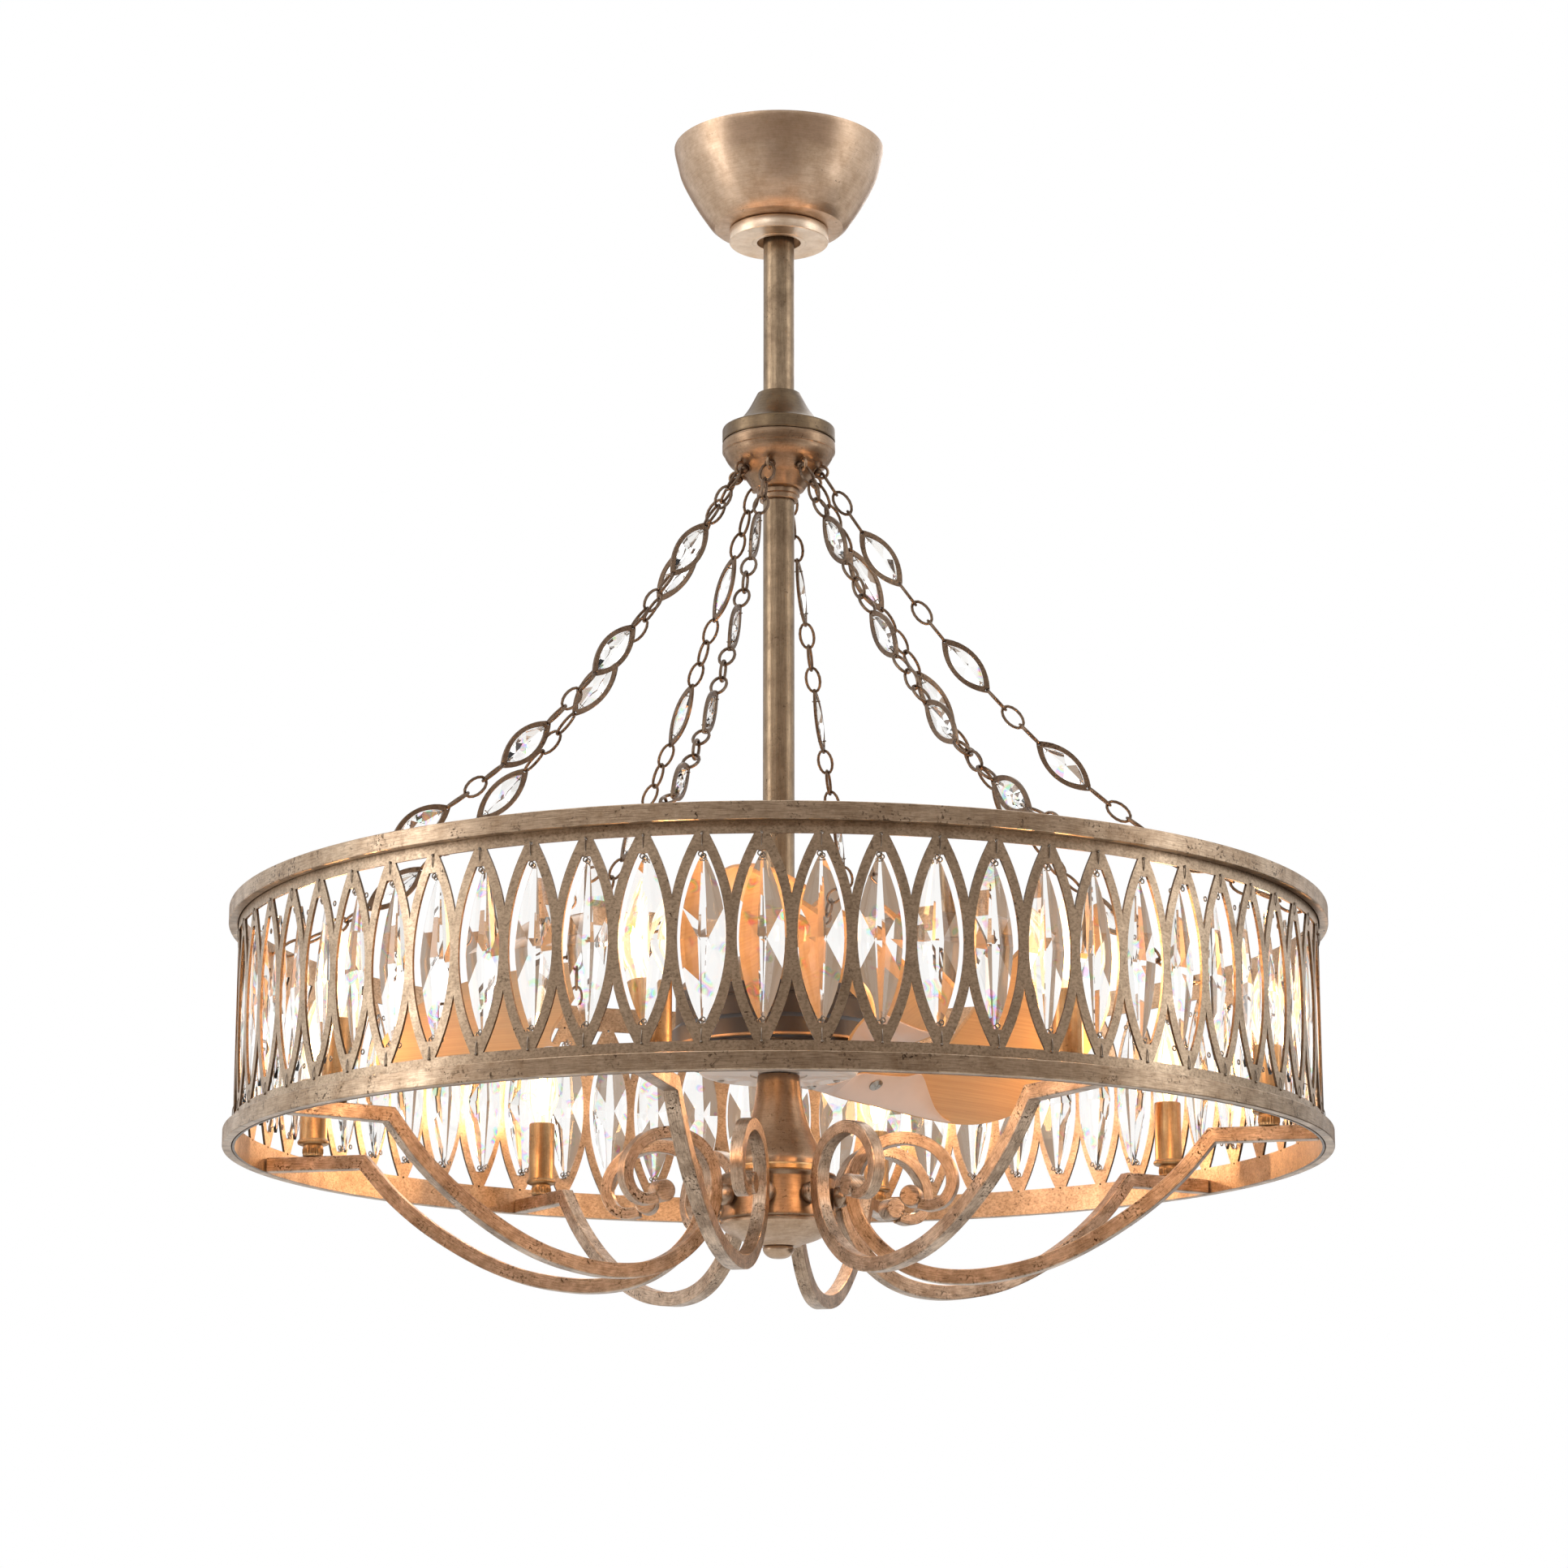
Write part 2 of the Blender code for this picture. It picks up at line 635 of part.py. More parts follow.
def band_mesh():
    """The pierced band: one flat cell with its oval, bent to the drum and repeated round it."""
    half = band_radius * cell_angle / 2
    middle = drum_height / 2
    right = [(half, 0), (half, strip_height), (strip_joint, strip_height)]
    right.append((half, middle - waist_half_height))
    right += [(x, drum_height - y) for x, y in reversed(right)]
    left = [(-x, y) for x, y in reversed(right)]
    side = [(x, y + middle) for x, y in oval_side(oval_corners)]
    opening = side + [(-x, y) for x, y in reversed(side[1:-1])]
    bm = bmesh.new()
    bm.from_mesh(plate_mesh("band_cell", [right + left, opening], band_thickness))
    ends = [f for f in bm.faces if abs(f.calc_center_median().x) > half - weld]
    bmesh.ops.delete(bm, geom=ends, context="FACES_ONLY")
    for vertex in bm.verts:
        radius = band_radius - band_thickness / 2 + vertex.co.z
        angle = vertex.co.x / band_radius
        vertex.co = (radius * math.cos(angle), radius * math.sin(angle), vertex.co.y)
    cell = bpy.data.meshes.new("band_cell")
    bm.to_mesh(cell)
    bm.free()
    first = angle_of(first_oval_azimuth)
    cells = [(cell, Matrix.Rotation(first + i * cell_angle, 4, "Z")) for i in range(oval_count)]
    bm = bmesh.new()
    bm.from_mesh(join("band", cells))
    return tidy(bm, "band")


def add_band(fixture):
    """The pierced band, with a flat eye inside it for each chain."""
    band = add_object("lattice_band", band_mesh(), champagne, fixture, drum_z)
    eye = ring_mesh("rim_eye", eye_radius, 0, eye_wire, eye_corners)
    place = Matrix.Translation((rim_eye_reach, 0, drum_height - rim_eye_drop))
    eyes = [(eye, Matrix.Rotation(angle, 4, "Z") @ place) for angle in arm_angles]
    combine(band, add_object("rim_eyes", join("rim_eyes", eyes), parent=fixture, height=drum_z), "UNION")


def crystals_mesh():
    """A square tie wire behind the top strip, and under it a cut crystal at each oval."""
    wire_radius = band_flat_radius - gap - hook_wire / 2
    tip = drum_height / 2 + crystal_half_height
    wire_z = drum_height - strip_height + hook_rise
    centre_radius = band_flat_radius - gap - crystal_half_thickness
    narrow = hook_wire / wire_radius
    start = angle_of(first_oval_azimuth) - narrow / 2
    bm = bmesh.new()
    bmesh.ops.create_grid(bm, x_segments=1, y_segments=1, size=hook_wire / 2)
    stand = Matrix.Translation((wire_radius, 0, wire_z)) @ Matrix.Rotation(math.pi / 2, 4, "X")
    bmesh.ops.transform(bm, matrix=Matrix.Rotation(start, 4, "Z") @ stand, verts=bm.verts)
    face = bm.faces[:][0]
    for i in range(2 * oval_count):
        step = cell_angle - narrow if i % 2 else narrow
        face = bmesh.ops.extrude_discrete_faces(bm, faces=[face])["faces"][0]
        bmesh.ops.rotate(bm, cent=(0, 0, 0), matrix=Matrix.Rotation(step, 3, "Z"), verts=face.verts[:])
    bmesh.ops.delete(bm, geom=[face], context="FACES_ONLY")
    bmesh.ops.remove_doubles(bm, verts=bm.verts, dist=weld)
    bmesh.ops.recalc_face_normals(bm, faces=bm.faces)
    seats = [f for f in bm.faces if f.normal.z < -0.5 and f.calc_area() < 2 * hook_wire**2]
    belly = crystal_belly_share * crystal_half_height
    wide = crystal_belly_width_share
    levels = ((tip, 0), (tip - crystal_half_height + belly, wide), (tip - crystal_half_height - belly, wide))
    for seat in seats:
        centre = seat.calc_center_median()
        out = Vector((centre.x, centre.y, 0)).normalized()
        side = Vector((-out.y, out.x, 0))
        face = seat
        for z, share in levels:
            made = bmesh.ops.extrude_discrete_faces(bm, faces=[face])
            face = made["faces"][0]
            for vertex, corner in zip(face.verts, corner_turns(face, out, side, share > 0)):
                width = max(share * crystal_half_width, hook_wire / 2)
                depth = max(share * crystal_half_thickness, hook_wire / 2)
                spot = out * (centre_radius + depth * corner[0]) + side * (width * corner[1])
                vertex.co = (spot.x, spot.y, z)
        made = bmesh.ops.extrude_discrete_faces(bm, faces=[face])
        bmesh.ops.pointmerge(
            bm, verts=made["faces"][0].verts[:],
            merge_co=(out.x * centre_radius, out.y * centre_radius, tip - 2 * crystal_half_height),
        )
    return tidy(bm, "crystals")


def corner_turns(face, out, side, diamond):
    """For each corner of a square section, its place as (out, side) on a square or a diamond."""
    centre = face.calc_center_median()
    turns = [math.atan2((v.co - centre).dot(side), (v.co - centre).dot(out)) for v in face.verts]
    quarter = math.pi / 2
    if diamond and max(abs(math.sin(2 * a)) for a in turns) > 0.5:
        turns = [a - quarter / 2 for a in turns]
    elif diamond:
        turns = [round(a / quarter) * quarter for a in turns]
    reach = 1 if diamond else math.sqrt(2)
    return [(reach * math.cos(a), reach * math.sin(a)) for a in turns]


def chain_path():
    """Points down one chain, in the XZ plane, from the hub's eye to the drum's eye."""
    start = Vector((hub_eye_reach, 0, hub_z - hub_eye_drop))
    end = Vector((rim_eye_reach, 0, drum_z + drum_height - rim_eye_drop))
    shares = [i / path_samples for i in range(path_samples + 1)]
    return [start.lerp(end, t) - Vector((0, 0, 4 * chain_sag * t * (1 - t))) for t in shares]


def point_on(path, distance):
    """The point and the direction at a distance along a path."""
    for a, b in zip(path, path[1:]):
        step = (b - a).length
        if distance <= step or b is path[-1]:
            return a.lerp(b, distance / step), (b - a).normalized()
        distance -= step


def jewel_mesh(lap):
    """A jewelled link: a pointed oval with its crystal in it, flat in the XY plane and long in X."""
    reach = jewel_length / 2 + lap
    across, rise = Vector((0, 1, 0)), Vector((0, 0, 1))
    tip, belly = across * link_wire, across * (jewel_width / 2)
    sections = [(Vector((-reach, 0, 0)), tip, rise * link_wire)]
    for share in jewel_belly_shares:
        middle = Vector((jewel_length * (share - 1 / 2), 0, 0))
        sections.append((middle, belly, rise * (jewel_thickness / 2)))
    sections.append((Vector((reach, 0, 0)), tip, rise * link_wire))
    return loft("jewel", sections)


def chain_mesh():
    """One chain: flat and upright links in turn, each set in the next, four of them jewelled."""
    path = chain_path()
    total = sum((b - a).length for a, b in zip(path, path[1:]))
    lap = link_wire * link_lap_share
    inset = eye_radius - eye_wire - link_wire - gap + lap
    kinds = (["link"] * links_between + ["jewel"]) * jewel_count + ["link"] * last_links
    link_pitch = (total - 2 * inset - jewel_count * jewel_length) / kinds.count("link")
    radius = link_width / 2 / math.sin(math.pi / link_corners)
    stretch = link_pitch / 2 + lap - radius * math.cos(math.pi / link_corners)
    shapes = {
        "link": (link_pitch, ring_mesh("link", radius, stretch, link_wire, link_corners)),
        "jewel": (jewel_length, jewel_mesh(lap)),
    }
    across = Vector((0, 1, 0))
    flat_links, upright_links = [], []
    place = inset
    for i, kind in enumerate(kinds):
        pitch, shape = shapes[kind]
        centre, along = point_on(path, place + pitch / 2)
        side = along.cross(across) if i % 2 else across
        frame = Matrix((along, side, along.cross(side))).transposed().to_4x4()
        (upright_links if i % 2 else flat_links).append((shape, Matrix.Translation(centre) @ frame))
        place += pitch
    made = add_object("flat_links", join("flat_links", flat_links))
    combine(made, add_object("upright_links", join("upright_links", upright_links)), "UNION")
    return evaluated_mesh(made)


def add_chains(fixture):
    mesh = chain_mesh()
    mesh.transform(Matrix.Translation((0, 0, -drum_z)))
    for i, angle in enumerate(arm_angles):
        add_object(f"chain_{i + 1}", mesh, dark_bronze, fixture, drum_z, angle)


def arm_outline():
    """The side of one arm: the bar's two edges along its scroll, from rim to curl."""
    nearest = scroll_hub_radius + arm_hub_gap
    way = arm_bend_radius - nearest
    scroll = [Vector((nearest + way * r, arm_drop * z)) for r, z in scroll_shares]
    line = [Vector((band_flat_radius - gap, bar_height / 2))] + scroll
    line[1].y = bar_height / 2
    upper, lower = [], []
    for i, point in enumerate(line):
        before = (point - line[max(i - 1, 0)]).normalized() if i else Vector((0, 0))
        after = (line[i + 1] - point).normalized() if i + 1 < len(line) else Vector((0, 0))
        along = (before + after).normalized()
        normal = Vector((along.y, -along.x))
        lean = normal.dot(Vector((after.y, -after.x))) if i and i + 1 < len(line) else 1
        along_taper = max(0, i / len(line) - bar_taper_share) / (1 - bar_taper_share)
        taper = 1 - (1 - bar_end_share) * along_taper
        upper.append(point + normal * (bar_height / 2 * taper / lean))
        lower.append(point - normal * (bar_height / 2 * taper / lean))
    outline = upper + lower[::-1]
    return [(point.x, point.y) for point in outline], line[-1]


def arm_mesh():
    """One scrolled arm lying in the XZ plane, with its ball at the hub and its disc at the curl."""
    outline, curl = arm_outline()
    upright = Matrix.Rotation(math.pi / 2, 4, "X")
    bar = plate_mesh("arm_bar", [outline], bar_width)
    bar.transform(upright)
    disc = cylinder_mesh("arm_disc", scroll_disc_radius, scroll_disc_width)
    disc.transform(Matrix.Translation((curl.x, 0, curl.y)) @ upright)
    ball = bmesh.new()
    hub_flat = scroll_hub_radius * math.cos(math.pi / hub_segments)
    middle = Vector((hub_flat + arm_ball_reach, 0, -hub_below_drum))
    bmesh.ops.create_uvsphere(
        ball, u_segments=arm_ball_segments, v_segments=arm_ball_rings, radius=arm_ball_radius,
        matrix=Matrix.Translation(middle),
    )
    cut = bmesh.ops.bisect_plane(
        ball, geom=ball.verts[:] + ball.edges[:] + ball.faces[:], plane_co=(hub_flat + gap, 0, 0),
        plane_no=(-1, 0, 0), clear_outer=True,
    )["geom_cut"]
    bmesh.ops.edgeloop_fill(ball, edges=[part for part in cut if isinstance(part, bmesh.types.BMEdge)])
    made = add_object("arm_bar", bar)
    combine(made, add_object("arm_disc", disc), "UNION")
    combine(made, add_object("arm_ball", tidy(ball, "arm_ball")), "UNION")
    return evaluated_mesh(made)


def add_arms(fixture):
    mesh = arm_mesh()
    for i, angle in enumerate(arm_angles):
        add_object(f"arm_{i + 1}", mesh, champagne, fixture, drum_z, angle)


def add_lights(fixture):
    """A candle sleeve with its socket on each arm, and a clear bulb in the socket."""
    base_top = candle_foot_height + candle_base_height
    top = base_top + sleeve_height
    socket = bulb_base_radius + gap
    candle = [(socket, top), (sleeve_radius, top), (sleeve_radius, base_top), (candle_base_radius, base_top)]
    candle += [(candle_base_radius, candle_foot_height), (candle_foot_radius, candle_foot_height)]
    candle += [(candle_foot_radius, 0), (0, 0)]
    candle = [(0, top - socket_depth), (socket, top - socket_depth)] + candle
    bulb = [(0, bulb_height)] + [(bulb_radius * r, bulb_height * z) for r, z in reversed(bulb_shares)]
    bulb += [(bulb_base_radius, 0), (bulb_base_radius, gap - socket_depth), (0, gap - socket_depth)]
    foot_z = drum_z + bar_height + gap
    for i, angle in enumerate(arm_angles):
        place = (candle_reach * math.cos(angle), candle_reach * math.sin(angle))
        sleeve = add_turned(f"candle_{i + 1}", candle, gold, fixture, foot_z, sides=coarse_segments)
        light = add_turned(f"bulb_{i + 1}", bulb, glass, fixture, foot_z + top, sides=coarse_segments)
        sleeve.location.xy = light.location.xy = place


for leftover in list(bpy.data.objects):
    bpy.data.objects.remove(leftover)
parts = collection("chandelier_ceiling_fan")
cutters = collection("cutters")
first_arm_angle = angle_of(first_oval_azimuth) - 2 * cell_angle
arm_angles = [first_arm_angle + 2 * math.pi * i / arm_count for i in range(arm_count)]
rim_eye_reach = band_flat_radius - rim_eye_inset

champagne = finish("brushed_champagne_metal", "A8977D", 0.38, 1.0)
gold = finish("gold_bronze_metal", "A9824F", 0.35, 1.0)
brass = finish("worn_brass", "B08A55", 0.35, 1.0)
bronze = finish("brown_bronze_metal", "8A6A4C", 0.40, 1.0)
dark_bronze = finish("dark_bronze_wire", "6B5A48", 0.40, 1.0)
dark_motor = finish("dark_motor_enamel", "3B3029", 0.35, 0.6)
pale_plate = finish("pale_plate_enamel", "D8D0C6", 0.45)
steel = finish("zinc_plated_steel", "9A9C9E", 0.40, 1.0)
wood = finish("light_oak_veneer", "C08A55", 0.50)
glass = finish("clear_bulb_glass", "F4EFE6", 0.05, 0.0, 0.9)
crystal = finish("cut_crystal", "F2F4F6", 0.02, 0.0, 1.0)

hanger = add_empty("ball_joint", ball_z)
fixture = add_empty("rod_pivot", ball_z, hanger)
fan = add_empty("fan_axis", rotor_z, fixture)
add_bracket()
add_ball_and_pin(hanger)
add_canopy()
add_rods(fixture)
add_coupling(fixture)
add_motor(fixture, fan)
add_blades(fan)
add_centre(fixture)
add_hoops(fixture)
add_band(fixture)
add_object("crystals", crystals_mesh(), crystal, fixture, drum_z)
add_chains(fixture)
add_arms(fixture)
add_lights(fixture)
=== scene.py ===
"""Chandelier ceiling fan: the finished look of each piece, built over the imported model.

Metres, +Z up, the origin on the ceiling. An azimuth of 0 degrees points along -Y, 90 along +X."""

from math import acos, atan2, cos, pi, radians, sin

import bmesh
import bpy
from mathutils import Matrix, Vector


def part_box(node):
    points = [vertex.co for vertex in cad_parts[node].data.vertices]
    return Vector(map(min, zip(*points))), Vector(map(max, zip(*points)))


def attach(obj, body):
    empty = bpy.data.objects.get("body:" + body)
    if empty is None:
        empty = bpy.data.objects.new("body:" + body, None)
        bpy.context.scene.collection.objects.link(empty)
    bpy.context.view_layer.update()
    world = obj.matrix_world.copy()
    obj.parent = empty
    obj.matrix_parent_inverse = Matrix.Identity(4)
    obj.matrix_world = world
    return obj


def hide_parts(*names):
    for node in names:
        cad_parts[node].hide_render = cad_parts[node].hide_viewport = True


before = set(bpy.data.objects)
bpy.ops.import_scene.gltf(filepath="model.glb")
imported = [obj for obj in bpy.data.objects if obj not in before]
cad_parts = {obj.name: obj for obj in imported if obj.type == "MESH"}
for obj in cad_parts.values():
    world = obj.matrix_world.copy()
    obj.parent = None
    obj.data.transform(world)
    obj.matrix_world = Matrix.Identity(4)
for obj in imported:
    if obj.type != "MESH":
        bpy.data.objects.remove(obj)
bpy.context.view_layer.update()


def level(node):
    """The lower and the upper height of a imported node."""
    low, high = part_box(node)
    return low.z, high.z


def turn_to(azimuth):
    """The turn about Z that takes +X to an azimuth in degrees."""
    return radians(azimuth - 90)


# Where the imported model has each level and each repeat
drum_z = level("lattice_band")[0]
drum_height = 0.198
oval_count = 64
cell_angle = 2 * pi / oval_count
first_oval, first_arm, first_blade = -1.5, -12.75, 10
arm_turns = [turn_to(first_arm + 45 * i) for i in range(8)]
# Where a chain hooks on, at the hub and at the drum's upper hoop
hub_eye = Vector((0.038, 0, level("chain_hub")[1] - 0.029))
rim_eye = Vector((0.44076, 0, drum_z + drum_height - 0.0085))


# Places and mesh tools


def at(x, y, z):
    """The place at a point."""
    return Matrix.Translation((x, y, z))


def about(axis, angle):
    """A turn about an axis."""
    return Matrix.Rotation(angle, 4, axis)


def smooth_line(points, steps):
    """Points of a smooth curve through the given ones."""
    points = [Vector(p) for p in points]
    ends = [2 * points[0] - points[1]] + points + [2 * points[-1] - points[-2]]
    line = []
    for a, b, c, d in zip(ends, ends[1:], ends[2:], ends[3:]):
        for i in range(steps):
            t = i / steps
            bend = (2 * a - 5 * b + 4 * c - d) * t * t + (3 * b - a - 3 * c + d) * t**3
            line.append((2 * b + (c - a) * t + bend) / 2)
    return line + [points[-1]]


def curve(points, steps):
    """A smooth stretch of a profile, as (radius, height) pairs."""
    return [(p.x, p.y) for p in smooth_line(points, steps)]


def full_turn(count):
    """Angles that share a full turn evenly."""
    return [2 * pi * i / count for i in range(count)]


def lens(half_width, half_height, corners):
    """One side of a pointed oval, from its lower end to its upper one."""
    radius = (half_width**2 + half_height**2) / (2 * half_width)
    reach = acos((radius - half_width) / radius)
    turns = [reach * (2 * i / corners - 1) for i in range(corners + 1)]
    return [(radius * cos(a) - radius + half_width, radius * sin(a)) for a in turns]


def closed_lens(half_width, half_height, corners):
    side = lens(half_width, half_height, corners)
    return side + [(-x, y) for x, y in reversed(side[1:-1])]


def circle(radius, x, y, corners=8):
    return [(x + radius * cos(a), y + radius * sin(a)) for a in full_turn(corners)]


def outward(bm):
    """The shape with its faces turned outwards."""
    bmesh.ops.recalc_face_normals(bm, faces=bm.faces)
    return bm


def eased(bm, width, segments=2, least=0.6):
    """The shape with each edge that is sharper than least rounded by a width."""
    sharp = [edge for edge in bm.edges if edge.calc_face_angle(0) > least]
    bmesh.ops.bevel(
        bm, geom=sharp, offset=width, offset_type="OFFSET", segments=segments, profile=0.5,
        affect="EDGES", material=-1, clamp_overlap=True,
    )
    return bm


def spun(bm, outline, steps):
    """The shape with an outline of verts and edges spun a full turn round Z."""
    bmesh.ops.spin(
        bm, geom=outline, cent=(0, 0, 0), axis=(0, 0, 1), angle=2 * pi, steps=steps, use_merge=True
    )
    bmesh.ops.remove_doubles(bm, verts=bm.verts, dist=1e-6)
    return bm


def turned(profile, steps=96, edge=0, height=0):
    """A closed profile of (radius, height) points spun round Z, and lifted to a height."""
    bm = bmesh.new()
    verts = [bm.verts.new((radius, 0, z + height)) for radius, z in profile]
    pairs = zip(verts, verts[1:] + verts[:1])
    edges = [bm.edges.new(pair) for pair in pairs if pair[0].co.x + pair[1].co.x > 0]
    outward(spun(bm, verts + edges, steps))
    return eased(bm, edge) if edge else bm


def thickened(bm, thickness):
    """The flat shape drawn up into a slab."""
    made = bmesh.ops.extrude_face_region(bm, geom=bm.faces[:])["geom"]
    lifted = [part for part in made if isinstance(part, bmesh.types.BMVert)]
    bmesh.ops.translate(bm, verts=lifted, vec=(0, 0, thickness))
    return bm


def plate(outlines, thickness):
    """A flat plate centred on the XY plane: the first outline is its rim, the others are holes."""
    bm = bmesh.new()
    edges = []
    for outline in outlines:
        verts = [bm.verts.new((x, y, -thickness / 2)) for x, y in outline]
        edges += [bm.edges.new(pair) for pair in zip(verts, verts[1:] + verts[:1])]
    bmesh.ops.triangle_fill(bm, use_beauty=True, use_dissolve=False, edges=edges, normal=(0, 0, 1))
    return outward(thickened(bm, thickness))


def sliced(bm, point, normal, dist=0, trimmed=True):
    """The shape cut by a plane. Trimmed, it loses what lies on the normal's side and is closed again."""
    cut = bmesh.ops.bisect_plane(
        bm, geom=bm.verts[:] + bm.edges[:] + bm.faces[:], dist=dist, plane_co=point,
        plane_no=normal, clear_outer=trimmed,
    )["geom_cut"]
    if trimmed:
        rim = [part for part in cut if isinstance(part, bmesh.types.BMEdge)]
        bmesh.ops.edgeloop_fill(bm, edges=rim)
    return bm


def loft(bm, sections):
    """A bar through sections, each a list of points in the same order."""
    face = bm.faces.new([bm.verts.new(point) for point in sections[0]])
    for section in sections[1:]:
        face = bmesh.ops.extrude_discrete_faces(bm, faces=[face])["faces"][0]
        for vert, point in zip(face.verts, section):
            vert.co = point
    bmesh.ops.holes_fill(bm, edges=[edge for edge in bm.edges if edge.is_boundary])
    return bm


def wire(bm, path, radius, sides):
    """A round wire along a path."""
    path = [Vector(p) for p in path]
    side = (path[1] - path[0]).orthogonal().normalized()
    sections = []
    for before, point, after in zip(path[:1] + path, path, path[1:] + path[-1:]):
        along = (after - before).normalized()
        side = (side - along * side.dot(along)).normalized()
        up = along.cross(side)
        turns = full_turn(sides)
        sections.append([point + (side * cos(a) + up * sin(a)) * radius for a in turns])
    return loft(bm, sections)


def ring(radius, thick, stretch=0, steps=20, sides=10):
    """A wire ring in the XY plane, drawn out along X into an oval link."""
    bm = bmesh.new()
    start = about("Z", pi / steps) @ at(radius, 0, 0) @ about("X", pi / 2)
    made = bmesh.ops.create_circle(bm, segments=sides, radius=thick / 2, matrix=start)["verts"]
    spun(bm, made + list({edge for vert in made for edge in vert.link_edges}), steps)
    for vert in bm.verts:
        vert.co.x += stretch * vert.co.x / vert.co.xy.length
    return bm


def cut_stone(half_width, half_height, half_depth):
    """A pointed-oval slab cut like a pendant.

    In front it has a narrow table, bent at its middle, between four long facets. Behind it has the same,
    flatter, with two more facets at its sides."""
    bm = bmesh.new()
    outline = closed_lens(half_width, half_height, 14)
    bm.faces.new([bm.verts.new((x, y, -half_depth)) for x, y in outline])
    thickened(bm, 2 * half_depth)
    # Each facet goes through three points, given as shares of the stone's half sizes
    facets = []
    for side in (1, -1):
        for end in (1, -1):
            front_tip, back_tip = (side * 0.05, end * 0.94, 0.3), (side * 0.1, end * 0.94, -0.16)
            facets.append([(side * 0.2, 0, 1), front_tip, (side, 0, 0.14)])
            facets.append([(side * 0.12, 0, -1), back_tip, (side, end * 0.4, -0.08)])
        facets.append([(side * 0.12, 0, -1), (side, 0.4, -0.08), (side, -0.4, -0.08)])
    for end in (1, -1):
        facets.append([(0.2, 0, 1), (-0.2, 0, 1), (0, end * 0.94, 0.3)])
        facets.append([(0.12, 0, -1), (-0.12, 0, -1), (0, end * 0.94, -0.16)])
    for points in facets:
        a, b, c = (Vector((x * half_width, y * half_height, z * half_depth)) for x, y, z in points)
        out = (b - a).cross(c - a)
        out *= 1 if out.z * a.z > 0 else -1
        sliced(bm, a, out, 1e-7)
    return outward(bm)


def template(bm, matrix=None):
    """The mesh of a bmesh, to be copied."""
    if matrix:
        bmesh.ops.transform(bm, matrix=matrix, verts=bm.verts)
    mesh = bpy.data.meshes.new("template")
    bm.to_mesh(mesh)
    bm.free()
    return mesh


def copies(bm, mesh, places):
    """The shape with a copy of the mesh added at each place."""
    for place in places:
        placed = mesh.copy()
        placed.transform(place)
        bm.from_mesh(placed)
        bpy.data.meshes.remove(placed)
    return bm


def around(turns):
    return [about("Z", turn) for turn in turns]


def put(name, data):
    """A new object in the scene."""
    data.name = name
    made = bpy.data.objects.new(name, data)
    bpy.context.scene.collection.objects.link(made)
    return made


def piece(name, bm, finish, *nodes, body="fixture", slot="champagne_metal", smooth=21):
    """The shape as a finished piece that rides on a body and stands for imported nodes."""
    mesh = template(bm)
    if smooth:
        mesh.shade_smooth()
        mesh.set_sharp_from_angle(angle=radians(smooth))
    mesh.materials.append(finish)
    made = put(name, mesh)
    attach(made, body)
    if nodes:
        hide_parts(*nodes)
    return made


def turned_piece(name, profile, finish, node, steps=96, **rest):
    """A turned piece that stands for a node, its profile's heights counted from the node's top."""
    return piece(name, turned(profile, steps, height=level(node)[1]), finish, node, **rest)


def foot_of(node):
    """A node's lower height, counted from its top."""
    low, high = level(node)
    return low - high


# Finishes


def rgb(code):
    """The linear colour of an sRGB hex value."""
    values = [int(code[i : i + 2], 16) / 255 for i in (1, 3, 5)]
    return (*(v / 12.92 if v <= 0.04045 else ((v + 0.055) / 1.055) ** 2.4 for v in values), 1)


def fill(tree, node, inputs):
    """The node with its inputs set to values or linked to sockets. A node stands for its first output."""
    for key, value in inputs.items():
        if isinstance(value, bpy.types.Node):
            value = value.outputs[0]
        if isinstance(value, bpy.types.NodeSocket):
            tree.links.new(value, node.inputs[key])
        else:
            node.inputs[key].default_value = value
    return node


def add(tree, kind, inputs=None, **settings):
    """A shader node with its settings, values and links."""
    made = tree.nodes.new("ShaderNode" + kind)
    for name, value in settings.items():
        setattr(made, name, value)
    return fill(tree, made, inputs or {})


def new_finish(name, **values):
    """A material of one Principled surface, its tree and its shader."""
    material = bpy.data.materials.new(name)
    material.use_nodes = True
    tree = material.node_tree
    inputs = {key.replace("_", " "): value for key, value in values.items()}
    return material, tree, fill(tree, tree.nodes["Principled BSDF"], inputs)


